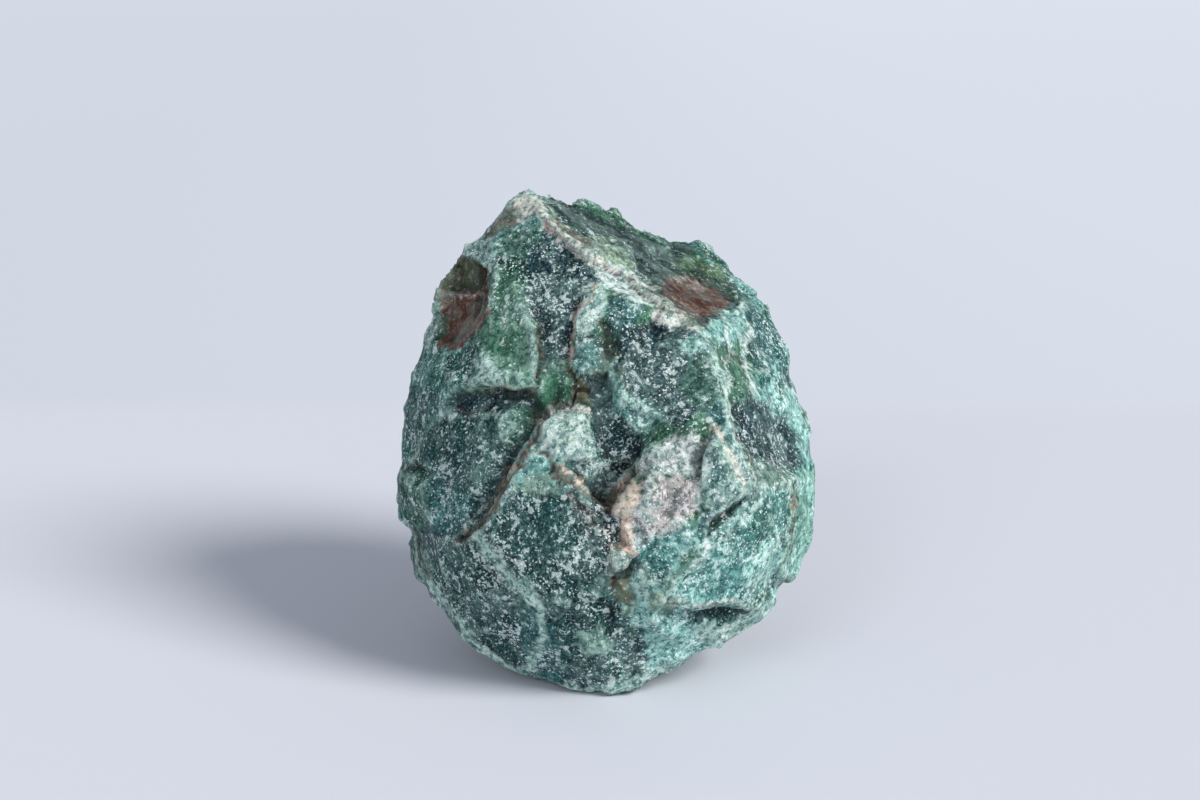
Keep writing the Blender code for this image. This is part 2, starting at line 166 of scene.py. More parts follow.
class Board:
    """A material's node tree, with one method that adds any node."""

    def __init__(self, name):
        self.material = bpy.data.materials.new(name)
        self.material.use_nodes = True
        self.tree = self.material.node_tree

    def node(self, kind, sockets=None, output=0, **settings):
        made = self.tree.nodes.new(kind)
        for name, value in settings.items():
            setattr(made, name, value)
        for key, value in (sockets or {}).items():
            self.plug(value, made.inputs[key])
        return Wire(self, made.outputs[output])

    def plug(self, value, socket):
        if isinstance(value, Wire):
            self.tree.links.new(value.socket, socket)
        else:
            socket.default_value = value

    def surface(self, **sockets):
        """Plugs values or wires into the shader itself: Base_Color stands for Base Color."""
        shader = self.tree.nodes["Principled BSDF"]
        for name, value in sockets.items():
            self.plug(value, shader.inputs[name.replace("_", " ")])

    def mix(self, share, first, second):
        sockets = {0: share, 6: first, 7: second}
        return self.node("ShaderNodeMix", sockets, 2, data_type="RGBA")

    def shaded(self, colour, strengths):
        """A darker or lighter tone of the same colour."""
        sockets = {0: colour, 1: strengths}
        return self.node("ShaderNodeVectorMath", sockets, operation="MULTIPLY")

    def attribute(self, name, output="Fac"):
        return self.node("ShaderNodeAttribute", output=output, attribute_name=name)

    def noise(self, place, size, detail, roughness):
        """Soft noise whose lumps are about as wide as the given size."""
        sockets = {"Vector": place, "Scale": 1 / size, "Detail": detail, "Roughness": roughness}
        return self.node("ShaderNodeTexNoise", sockets)


def linear(red, green, blue):
    """A colour as a screen shows it, 0 to 255, as the light values that a shader works with.

    The bare numbers are those of the usual curve for screens.
    """
    channels = [channel / 255 for channel in (red, green, blue)]
    return tuple(c / 12.92 if c <= 0.04045 else ((c + 0.055) / 1.055) ** 2.4 for c in channels)


def paint(red, green, blue):
    return (*linear(red, green, blue), 1.0)


# %% [markdown]
# ## A pale table and backdrop
#
# The stone stands on a plain pale table in front of a plain pale backdrop that is out of focus. One
# large plane does both: its tone changes softly behind the stone, at the table's far edge, because
# an upright wall there would hide the stone from a camera that goes round to its back. A low ring
# far outside has the same tone, so that no dark horizon shows from any side.

# %% The table and the backdrop
TABLE_SIZE = 24.0
TABLE_EDGE = 0.214  # how far behind the stone the table ends
EDGE_BLUR = 0.022
TABLE_TONE = paint(216, 219, 228)
TABLE_ROUGHNESS = 0.6
TABLE_SPECULAR = 0.15
# painted shade: the glowing backdrop is darker on the left, away from the main softbox
BACKDROP_LEFT = paint(204, 211, 222)
BACKDROP_RIGHT = paint(213, 219, 231)
BACKDROP_REACH = 0.4  # to either side, between its two tones
NO_LIGHT = paint(0, 0, 0)
GLOW = 1.0
WALL_RADIUS = 5.0
WALL_HEIGHT = 0.6
WALL_SIDES = 96


def add_table():
    bpy.ops.mesh.primitive_plane_add(size=TABLE_SIZE)
    table = bpy.context.active_object
    table.name = "table"
    board = Board("table")
    spot = board.node("ShaderNodeTexCoord", output="Object")
    across = board.node("ShaderNodeSeparateXYZ", {0: spot}, "X")
    along = board.node("ShaderNodeSeparateXYZ", {0: spot}, "Y")
    beyond = along.rise(TABLE_EDGE - EDGE_BLUR, TABLE_EDGE + EDGE_BLUR)
    # painted shade: the backdrop's glow fades towards the left
    side = across.rise(-BACKDROP_REACH, BACKDROP_REACH)
    backdrop = board.mix(side, BACKDROP_LEFT, BACKDROP_RIGHT)
    board.surface(Base_Color=board.mix(beyond, TABLE_TONE, NO_LIGHT),
                  Emission_Color=board.mix(beyond, NO_LIGHT, backdrop), Emission_Strength=GLOW,
                  Roughness=TABLE_ROUGHNESS, Specular_IOR_Level=TABLE_SPECULAR)
    table.data.materials.append(board.material)
    table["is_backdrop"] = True


def add_far_wall():
    bpy.ops.mesh.primitive_cylinder_add(
        vertices=WALL_SIDES, radius=WALL_RADIUS, depth=WALL_HEIGHT, end_fill_type="NOTHING",
        location=(0, 0, WALL_HEIGHT / 2))
    wall = bpy.context.active_object
    wall.name = "far wall"
    board = Board("far wall")
    board.surface(Base_Color=NO_LIGHT, Emission_Color=BACKDROP_RIGHT, Emission_Strength=GLOW,
                  Specular_IOR_Level=0.0)
    wall.data.materials.append(board.material)
    wall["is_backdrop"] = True


add_table()
add_far_wall()
bpy.ops.object.select_all(action="DESELECT")
print("table ends", round(TABLE_EDGE / MM), "mm behind the stone, wall is", WALL_RADIUS, "m off")

# %% [markdown]
# ## Soft studio light
#
# The shadow falls to the left and a little backward, and the right side of the stone is the bright
# one. So the main softbox stands to the right and slightly in front. A weak one on the left keeps
# the dark facets readable, and a pale sky fills the rest. Both softboxes are sun lamps, whose light
# is equally strong everywhere on the table. The wider such a lamp looks, the softer its shadow is.

# %% The lights
SKY_TONE = paint(222, 229, 242)
SKY_STRENGTH = 0.42
SOFTBOXES = [
    # name, direction it stands in, how wide it looks in degrees, strength, colour
    ("main softbox", (1.20, -0.62, 1.00), 24, 3.2, (1.0, 0.985, 0.965)),
    ("left softbox", (-0.70, -1.30, 0.85), 26, 0.55, (0.97, 0.985, 1.0)),
]


def add_sky():
    world = bpy.data.worlds.new("sky")
    bpy.context.scene.world = world
    world.use_nodes = True
    sky = world.node_tree.nodes["Background"]
    sky.inputs["Color"].default_value = SKY_TONE
    sky.inputs["Strength"].default_value = SKY_STRENGTH


def add_softbox(name, direction, width, strength, colour):
    data = bpy.data.lights.new(name, "SUN")
    data.angle = math.radians(width)
    data.energy = strength
    data.color = colour
    light = bpy.data.objects.new(name, data)
    light.location = direction
    light.rotation_euler = Vector(direction).to_track_quat("Z", "Y").to_euler()
    bpy.context.scene.collection.objects.link(light)


add_sky()
for softbox in SOFTBOXES:
    add_softbox(*softbox)
bpy.context.scene.view_settings.view_transform = "Standard"  # tones come out as they are named
print("lights:", [softbox[0] for softbox in SOFTBOXES], "and the sky")

# %% [markdown]
# ## The stone's skin
#
# The solid is about nine thousand triangles, enough for its facets and ledges. Close up, a broken
# stone also has a sugary skin with lumps of about a millimetre. A copy of the solid is merged and
# remeshed to small even squares, so that there are enough corners to move for the lumps and to
# colour for the patches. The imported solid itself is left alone, and the copy stands for it.

# %% A fine, even copy of the solid
SKIN_GRID = 0.72 * MM
MERGE_GAP = 0.01 * MM


def copy_solid():
    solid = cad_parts["rock"]
    stone = solid.copy()
    stone.data = solid.data.copy()
    stone.name = "rock_skin"
    stone.parent = None
    stone.data.materials.clear()
    for key in list(stone.keys()):
        del stone[key]
    bpy.context.scene.collection.objects.link(stone)
    bpy.context.view_layer.objects.active = stone
    stone.select_set(True)
    bpy.ops.object.mode_set(mode="EDIT")
    bpy.ops.mesh.select_all(action="SELECT")
    bpy.ops.mesh.remove_doubles(threshold=MERGE_GAP)
    bpy.ops.object.mode_set(mode="OBJECT")
    return stone


def refine(stone):
    remesh = stone.modifiers.new("even grid", "REMESH")
    remesh.mode = "VOXEL"
    remesh.voxel_size = SKIN_GRID
    bpy.ops.object.modifier_apply(modifier=remesh.name)


stone = copy_solid()
refine(stone)
print("skin:", len(stone.data.vertices), "corners,", len(stone.data.polygons), "faces")

# %% [markdown]
# ## Reading and moving corners
#
# The next steps work on all corners at once, as arrays. Neighbouring corners are averaged to tell
# ridges from hollows: a corner that stands proud of its smoothed surroundings is on a ridge, and
# one that lies below them is in a hollow.

# %% Helpers for the corners
TINY = 1e-9


def read(items, field, width, kind=np.float64):
    """One field of all the items, as a table with one row for each."""
    flat = np.empty(len(items) * width, dtype=kind)
    items.foreach_get(field, flat)
    return flat.reshape(-1, width)


def read_corners(item):
    return read(item.data.vertices, "co", 3)


def read_normals(item):
    return read(item.data.vertex_normals, "vector", 3)


def read_edges(item):
    return read(item.data.edges, "vertices", 2, np.int64)


def write_corners(item, corners):
    item.data.vertices.foreach_set("co", corners.ravel())
    item.data.update()


def smoothed(values, edges, rounds):
    """Each corner's value becomes the average of its neighbours' and its own, several times."""
    count = len(values)
    ends = np.concatenate([edges[:, 0], edges[:, 1]])
    others = np.concatenate([edges[:, 1], edges[:, 0]])
    share = np.bincount(ends, minlength=count)[:, None] + 1.0
    table = values.reshape(count, -1)
    for _ in range(rounds):
        sums = [np.bincount(ends, weights=column[others], minlength=count) for column in table.T]
        table = (np.stack(sums, axis=1) + table) / share
    return table.reshape(values.shape)


def unit(vectors):
    return vectors / np.maximum(np.linalg.norm(vectors, axis=1), TINY)[:, None]


def slope(values, low, high):
    """0 below low, 1 above high, and a smooth slope between them."""
    share = np.clip((values - low) / (high - low), 0.0, 1.0)
    return share * share * (3 - 2 * share)


# %% [markdown]
# ## Patterns from noise
#
# Nothing on a stone is even, so most helpers below give a pattern: soft lumps, a push to one side
# and another, or flat plates that tilt every way, as the faces of a hackly break do.

# %% Noise and plates at the corners
PLATE_TILT = 2
# the noise is read with long strides, so that neighbouring plates get unlike numbers
TILT_STRIDE = 7.3
SHADE_STRIDE = 37.0


def noise_at(corners, size, depth=0.0):
    """Soft noise from -1 to 1; another depth gives another pattern of the same size."""
    shift = Vector((0, 0, depth))
    return np.array([noise.noise(Vector(corner) / size + shift) for corner in corners])


def noise_vectors_at(corners, size):
    return np.array([noise.noise_vector(Vector(corner) / size)[:] for corner in corners])


def plates_at(corners, size):
    """Flat plates that tilt every way: the cells round random middles.

    Gives each corner's height on its own plate, three random numbers for that plate, and the gap
    to its border.
    """
    heights = np.empty(len(corners))
    shades = np.empty((len(corners), 3))
    gaps = np.empty(len(corners))
    for i, corner in enumerate(corners):
        place = Vector(corner) / size
        distances, middles = noise.voronoi(place)
        tilt = noise.noise_vector(middles[0] * TILT_STRIDE) * PLATE_TILT
        heights[i] = (place - middles[0]).dot(tilt)
        shades[i] = noise.cell_vector(middles[0] * SHADE_STRIDE)
        gaps[i] = (distances[1] - distances[0]) * size
    return heights, shades, gaps


# %% [markdown]
# ## Marks on the front
#
# The stone's colour comes in patches that follow its facets: dark speckled faces, smooth green
# slips, pale folds, a rusty scar, a pinkish nose. Each patch, vein and crack is named, and its
# corners are given in millimetres across and up from the middle of the view. A picture
# wrapped round the stone would be quicker, but it would smear over the sides and hold the light of
# one moment.
#
# The pigments come first. A pigment is one kind of ground, with the share of white grains in it and
# how slick it is. They were set one by one, and corrected while the render was compared with the
# stone. As they have names, one change reaches every patch that uses it.

# %% Pigments
PIGMENTS = {
    # name: colour of the ground as a screen shows it, share of white grains, slickness
    "deep green": ((8, 74, 76), 0.48, 0.0),
    "ink teal": ((10, 54, 68), 0.42, 0.0),
    "emerald": ((10, 86, 66), 0.36, 0.0),
    "emerald deep": ((2, 70, 60), 0.32, 0.0),
    "leaf green": ((64, 122, 90), 0.28, 0.1),
    "leaf teal": ((26, 114, 104), 0.44, 0.0),
    "teal mix": ((26, 102, 104), 0.48, 0.0),
    "teal mint": ((100, 170, 162), 0.50, 0.0),
    "mint": ((154, 206, 196), 0.44, 0.0),
    "bright mint": ((140, 202, 182), 0.40, 0.0),
    "pale mint": ((190, 216, 204), 0.40, 0.0),
    "mint white": ((222, 234, 226), 0.36, 0.1),
    "pale sage": ((154, 194, 173), 0.30, 0.0),
    "sage": ((128, 156, 140), 0.28, 0.1),
    "sage grey": ((240, 240, 234), 0.46, 0.2),
    "grey mint": ((144, 168, 164), 0.50, 0.0),
    "cream": ((226, 216, 204), 0.34, 0.3),
    "cream green": ((160, 180, 152), 0.20, 0.3),
    "lens green": ((74, 106, 66), 0.16, 0.6),
    "slick teal": ((8, 46, 44), 0.16, 0.8),
    "olive brown": ((88, 66, 46), 0.12, 0.6),
    "olive dark": ((50, 66, 44), 0.20, 0.5),
    "moss": ((53, 81, 59), 0.18, 0.6),
    "moss brown": ((102, 96, 64), 0.14, 0.7),
    "rust": ((120, 66, 44), 0.10, 0.8),
    "dark rust": ((104, 52, 34), 0.12, 0.8),
    "rust orange": ((160, 98, 60), 0.10, 0.2),
    "pink grey": ((178, 150, 140), 0.30, 0.3),
    "tan pink": ((246, 206, 182), 0.20, 0.5),
    "lilac grey": ((222, 204, 200), 0.52, 0.2),
    "grey beige": ((154, 144, 132), 0.32, 0.1),
    "ink grey": ((48, 52, 62), 0.56, 0.0),
    "white": ((236, 244, 243), 0.24, 0.1),
}
print(len(PIGMENTS), "pigments")

# %% [markdown]
# ## Patches
#
# Each patch has a pigment, a border that is sharp or soft, and an outline. They are laid in this
# order, so that a later patch covers an earlier one, as the stone's own layers do.

# %% Patches
# name, pigment, softness of the border in millimetres, corners across and up
PATCHES = [
    ("top facet", "slick teal", 1, [(-16.5, 59.5), (-9, 58.5), (3, 55), (18.5, 47.5), (28.5, 39.5),
        (33.5, 33), (23, 27), (16, 32), (6.5, 42), (-2, 48.5), (-12, 54.5)]),
    ("top facet back rim", "leaf green", 2.5, [(-6.5, 58.5), (-1, 57), (8, 52.5), (16.5, 48.5),
        (13.5, 47.5), (3, 52), (-5.5, 55.5)]),
    ("brown strip by the brow", "olive brown", 0.8, [(-15, 55), (-10.5, 52.5), (-5.5, 49.5),
        (-2, 46.5), (-5.5, 46), (-9, 48.5), (-13, 52)]),
    ("cream lobe", "cream green", 0.7, [(-5.5, 46.5), (-0.5, 48), (3.5, 44.5), (6, 41.5),
        (4.5, 39.5), (-0.5, 41.5), (-4, 44.5)]),
    ("rust patch", "dark rust", 1.2, [(14, 38.5), (20, 40), (25, 37), (29.5, 33), (27.5, 30),
        (20.5, 29), (16, 32), (14, 36)]),
    ("rust highlights", "pink grey", 0.8, [(15.5, 39.5), (18.5, 40), (19, 38.5), (16.5, 38)]),
    ("rust highlights low", "pink grey", 0.8, [(19.5, 37.5), (22, 37.5), (23.5, 36), (20.5, 36)]),
    ("lens patch", "lens green", 0.7, [(16, 44.5), (22, 44.5), (27.5, 42), (29, 39.5), (27.5, 38),
        (22, 40), (17, 42)]),
    ("moss under the lens", "olive dark", 1.2, [(16, 42), (22.5, 39.5), (29, 38), (25, 37),
        (20, 39.5), (15, 40)]),
    ("top right corner", "moss", 1.5, [(28.5, 39), (33, 35), (34, 32.5), (30.5, 33), (26, 36.5)]),
    ("left of the peak", "olive brown", 1.5, [(-31, 48.5), (-27.5, 52.5), (-23, 57.5), (-20, 59),
        (-18, 58), (-20, 54), (-24, 50.5), (-28.5, 47.5)]),
    ("peak", "cream", 0.9, [(-23, 58), (-20, 59.5), (-16.5, 59), (-16, 55), (-19, 53), (-22, 54)]),
    ("emerald under the peak", "emerald", 1.2, [(-25, 50.5), (-17, 51.5), (-16, 47), (-20, 41),
        (-17.5, 35), (-20.5, 34.5), (-23.5, 40.5), (-27, 42), (-26, 46.5)]),
    ("shoulder", "grey mint", 1.5, [(-34.5, 45.5), (-31, 48.5), (-27, 48.5), (-26.5, 43),
        (-29, 42), (-32, 44.5)]),
    ("upper dark panel", "ink teal", 0.9, [(-18.5, 46.5), (-12, 49), (-5.5, 46.5), (-0.5, 39),
        (-5.5, 35), (-8, 26.5), (-8.5, 19), (-12, 15), (-15.5, 15.5), (-16.5, 26.5), (-20, 38.5)]),
    ("fibrous patch", "mint white", 1, [(-2, 41), (3.5, 42), (10, 37), (14.5, 33), (11.5, 32),
        (7, 33), (2, 35), (-1, 37)]),
    ("rib", "pale mint", 1.2, [(-5.5, 36), (-2, 37), (0, 33), (-0.5, 29.5), (-3.5, 26.5),
        (-7.5, 23.5), (-8, 27.5)]),
    ("rib foot", "teal mix", 1.2, [(-0.5, 32.5), (3, 34), (8, 32), (7, 27.5), (3, 24), (0, 28.5)]),
    ("olive hollow", "olive dark", 1.4, [(-2, 29.5), (2, 27), (2.5, 21.5), (0, 18), (-2, 22.5)]),
    ("middle mint", "teal mix", 1.8, [(-8, 24), (-2, 26), (-1, 18), (-5.5, 15.5), (-9, 16.5)]),
    ("scar upper half", "moss brown", 0.8, [(-36.5, 44), (-34, 44.5), (-30.5, 43), (-29, 40.5),
        (-29.5, 35), (-40.5, 35), (-39, 40.5)]),
    ("scar lower half", "rust", 1, [(-40.5, 35), (-29.5, 35), (-28.5, 31), (-31, 26.5),
        (-34.5, 23.5), (-40.5, 22), (-41, 25), (-39.5, 30)]),
    ("scar green corner", "moss", 1.2, [(-41, 30), (-39, 30.5), (-38, 26.5), (-40, 24),
        (-41.5, 23.5)]),
    ("green panel", "leaf green", 0.9, [(-27.5, 42), (-22.5, 40.5), (-19, 32.5), (-17, 26.5),
        (-16.5, 19), (-17.5, 13), (-20.5, 12), (-24, 13.5), (-28.5, 14), (-31.5, 15.5),
        (-32, 22.5), (-28.5, 29.5), (-28, 37)]),
    ("panel right edge", "sage", 1.2, [(-21.5, 32), (-19, 32.5), (-17, 26.5), (-16.5, 19),
        (-17, 13.5), (-19, 19), (-20, 26)]),
    ("panel low corner", "pale mint", 1.8, [(-31, 22.5), (-27, 19), (-24, 15.5), (-25, 13.5),
        (-29, 14.5), (-32, 17.5)]),
    ("left mottled rim", "leaf teal", 2, [(-43.5, 21.5), (-32, 21.5), (-32, 14), (-37, 11.5),
        (-46, 11.5), (-47, 15.5)]),
    ("left rim low", "deep green", 2, [(-48, 12), (-41, 11.5), (-42, 5.5), (-47, -1.5),
        (-49, 0.5)]),
    ("under the panel lip", "ink teal", 0.9, [(-37.5, 10.5), (-31, 11.5), (-19, 12), (-17.5, 7),
        (-22.5, 3.5), (-26.5, 6.5), (-33.5, 6), (-39.5, 8)]),
    ("left dark facet", "deep green", 1.5, [(-45.5, 2), (-37, 5.5), (-27, 1.5), (-24, -4.5),
        (-27, -12), (-32, -19), (-37, -16.5), (-41, -10), (-46, -5)]),
    ("green lump", "emerald", 0.9, [(-25, 8), (-18, 8), (-17.5, 2.5), (-20.5, -2.5), (-25, -1.5),
        (-27, 3)]),
    ("left ledge", "emerald", 1.4, [(-49.5, -8), (-44.5, -6), (-42, -10), (-41.5, -18.5),
        (-43.5, -22), (-48.5, -19), (-50, -13.5)]),
    ("left grey zone", "teal mix", 1.5, [(-41.5, -9), (-34.5, -12), (-32, -17.5), (-36, -23.5),
        (-41, -22.5), (-43, -16)]),
    ("green knob", "leaf green", 0.9, [(-15.5, 17.5), (-9, 18), (-8, 12), (-10, 8.5), (-13.5, 6.5),
        (-16.5, 6.5), (-17, 12)]),
    ("knob right", "moss brown", 1, [(-7.5, 15.5), (-4.5, 15.5), (-4.5, 9.5), (-7, 9),
        (-8.5, 11.5)]),
    ("swirl", "mint white", 0.8, [(-15.5, 5.5), (-10.5, 8), (-5.5, 7), (-3.5, 2), (-2, -4.5),
        (-5.5, -5.5), (-10.5, -5), (-14, -3), (-16, 1)]),
    ("swirl tail", "grey mint", 1.4, [(-10, -5), (-2, -4.5), (3, -9), (0.5, -14.5), (-3.5, -12.5),
        (-8, -8)]),
    ("dark column", "ink teal", 1.2, [(-5.5, 15.5), (0.5, 15.5), (3.5, 6.5), (8.5, 1.5), (8.5, -4),
        (3.5, -9.5), (-1, -5.5), (-3.5, 2), (-4.5, 9)]),
    ("diagonal mint", "mint", 1.6, [(0.5, 16.5), (4.5, 12), (10.5, 8), (16.5, 4), (14.5, -1.5),
        (10.5, 1), (5, 3.5), (1.5, 7.5), (-0.5, 12)]),
    ("under the diagonal", "leaf green", 1.6, [(9, 3.5), (16, 4.5), (16.5, 1), (13.5, -2),
        (10, -1.5)]),
    ("middle dark panel", "ink teal", 1.1, [(3, 26.5), (11.5, 28), (19.5, 27.5), (22.5, 22.5),
        (25.5, 14), (26.5, 8), (22, 6), (16, 6.5), (10.5, 9), (5, 14.5), (2, 19)]),
    ("middle panel right", "emerald", 1.8, [(18.5, 19), (23.5, 21), (26, 13), (26.5, 8),
        (21.5, 6.5), (18.5, 12)]),
    ("cream wedge", "cream", 0.8, [(10.5, 31), (15, 32), (18.5, 29), (17.5, 27), (14, 26.5),
        (11.5, 27.5)]),
    ("mint patch", "mint", 0.9, [(17.5, 24), (22, 25), (23.5, 22), (20.5, 20), (17.5, 21.5)]),
    ("plate top ridge", "olive brown", 0.9, [(-14, -6.5), (-11, -5), (-6.5, -9), (-1.5, -13),
        (2, -17), (-0.5, -18.5), (-5.5, -14.5), (-11.5, -9.5)]),
    ("plate", "deep green", 1.5, [(-25, -12.5), (-15, -8), (-9, -14), (-2, -25), (3, -35.5),
        (6.5, -46.5), (3, -56), (-5.5, -58.5), (-9.5, -52.5), (-14, -44), (-17.5, -38),
        (-26.5, -29.5), (-31, -22.5)]),
    ("plate top band", "sage", 1.4, [(-23, -10.5), (-16.5, -7), (-14, -8.5), (-12, -12.5),
        (-18, -13.5), (-23.5, -13)]),
    ("plate grey corner", "ink grey", 1.6, [(-10, -12), (-1, -15), (4, -22), (6, -26.5),
        (4.5, -31), (0.5, -31), (-3.5, -25), (-7.5, -18.5)]),
    ("grey lump", "grey beige", 0.6, [(0, -25), (3, -23.5), (5.5, -26.5), (5, -30.5), (2, -32),
        (0, -30.5)]),
    ("under the grey lump", "moss brown", 1.8, [(0.5, -32.5), (5, -31), (7, -38), (6, -42),
        (3, -38)]),
    ("nose left", "tan pink", 1.2, [(0.5, -14), (3, -10.5), (6, -8.5), (8.5, -11), (7.5, -16.5),
        (6.5, -22), (6.5, -26), (5, -25), (3.5, -19), (0, -16)]),
    ("nose right", "lilac grey", 1.4, [(8, -10), (16.5, -8), (22, -9.5), (23, -15), (20.5, -19),
        (14, -23), (9, -23.5), (7, -19)]),
    ("nose top", "sage grey", 1.3, [(6, -5), (11, -3), (16.5, 0.5), (22.5, 2.5), (23.5, -4),
        (20.5, -8), (14, -8.5), (8, -9)]),
    ("tooth", "sage", 1, [(26, 2.5), (29.5, -4), (33.5, -12), (28.5, -15.5), (23, -16.5),
        (22, -10), (23.5, -2)]),
    ("tooth middle", "teal mix", 1.6, [(25.5, -3), (28.5, -5.5), (30, -12.5), (25, -15),
        (23.5, -10)]),
    ("wedge under the tooth", "emerald deep", 0.7, [(33.5, -13), (34, -14.5), (28, -20), (23, -24),
        (24, -19.5), (28.5, -16.5)]),
    ("lower right plate", "teal mint", 1.5, [(33.5, -16), (41.5, -10), (45, -13.5), (44, -22),
        (41.5, -29.5), (37, -35.5), (33, -39), (17.5, -39.5), (16, -35.5), (24.5, -26),
        (29.5, -19)]),
    ("lower right mint", "mint", 2.2, [(37, -26), (43, -23.5), (41.5, -31), (37, -36), (33.5, -38),
        (33.5, -31)]),
    ("right plate green", "leaf teal", 2.2, [(35, -15), (41.5, -12.5), (43.5, -17.5),
        (40.5, -23.5), (35.5, -25)]),
    ("below the nose", "teal mint", 1.5, [(6.5, -27), (10, -23.5), (20, -21), (24, -23.5),
        (17.5, -29.5), (12, -35.5), (9, -39.5), (7, -33.5)]),
    ("white spot", "white", 0.6, [(17.5, -22), (19.5, -21), (20.5, -22.5), (18.5, -23.5)]),
    ("white spot left", "white", 1, [(6, -22), (8.5, -22), (9.5, -23.5), (7.5, -25)]),
    ("white streak", "pale mint", 1, [(6, -31), (9.5, -29.5), (11.5, -33.5), (9, -39), (7, -37)]),
    ("cream patch", "cream green", 0.8, [(10.5, -36.5), (13, -36), (17, -39.5), (11.5, -41.5),
        (9.5, -40.5)]),
    ("cave", "deep green", 0.7, [(17.5, -41), (24.5, -39.5), (32.5, -40), (34, -41), (28.5, -43),
        (22.5, -43.5), (18.5, -43)]),
    ("low right rim", "mint", 1.8, [(10, -43), (17.5, -43), (23, -44), (28.5, -44), (33.5, -41.5),
        (39, -39), (33, -45.5), (25, -49), (16.5, -54), (10, -55), (9, -48.5)]),
    ("low right pale", "pale mint", 2.2, [(22.5, -44), (29.5, -43.5), (37, -40), (32, -46),
        (23.5, -49), (20, -46.5)]),
    ("pale plate patch", "pale sage", 0.7, [(-7.5, -48), (-5.5, -45.5), (-1, -44.5), (0.5, -47),
        (2.5, -48.5), (0.5, -51), (-5, -51.5)]),
    ("low left mix", "deep green", 1.8, [(-42, -25), (-32.5, -23), (-28.5, -29.5), (-22.5, -35.5),
        (-19.5, -44), (-20.5, -54), (-28.5, -50.5), (-37, -41.5), (-43, -33)]),
    ("low left dark streak", "ink teal", 1, [(-31, -26), (-28.5, -27.5), (-24, -33.5),
        (-20.5, -38), (-22.5, -39), (-26.5, -33.5), (-31, -28.5)]),
    ("low left pale", "pale mint", 2, [(-28.5, -26), (-25, -30.5), (-19, -35), (-16.5, -39),
        (-20, -39), (-24, -33.5), (-28.5, -29.5)]),
    ("low middle", "teal mix", 2, [(-20, -39), (-15.5, -40.5), (-12, -47.5), (-9, -54),
        (-12, -58.5), (-19, -56), (-20.5, -48)]),
    ("lower lump", "emerald deep", 0.8, [(-48, -22), (-45.5, -23), (-43, -33.5), (-45.5, -33),
        (-47, -27.5)]),
    ("right of the edge top", "leaf green", 1.5, [(25, 24), (32, 26), (35, 19), (35, 12),
        (32.5, 8.5), (28.5, 10), (26.5, 17.5)]),
    ("fibrous corner", "mint", 1.2, [(23, 26.5), (28.5, 31), (33.5, 33), (34, 29.5), (31, 23.5),
        (27.5, 22.5), (24.5, 24)]),
    ("far right top", "teal mix", 1.5, [(33.5, 32), (39.5, 30), (44, 19), (44.5, 12), (39, 15.5),
        (35.5, 22.5)]),
    ("right dark round", "ink teal", 1, [(30, 8.5), (35.5, 10), (39.5, 9), (42, 4.5), (46.5, 0),
        (45.5, -5.5), (40.5, -7.5), (34.5, -4), (31, 2)]),
    ("right mint frame", "mint", 1.6, [(35, 12), (45, 12), (48.5, 2), (50, -5.5), (47, -6.5),
        (46.5, 0), (42, 5), (38, 9.5)]),
    ("sage wedge", "sage", 0.9, [(33.5, -4), (44, -8), (45, -10), (41.5, -12), (37.5, -10.5)]),
    ("far right facet", "bright mint", 1.4, [(45, -8), (50.5, -5.5), (50.5, -14), (49.5, -25),
        (46, -31), (42, -34.5), (44, -25), (45, -18.5)]),
]
print(len(PATCHES), "patches")

# %% [markdown]
# ## Veins and cracks
#
# Veins and cracks are lines with a width. A vein is laid over the patches and stands a little
# proud. A crack is pressed in and darkened, with rust along its sides.

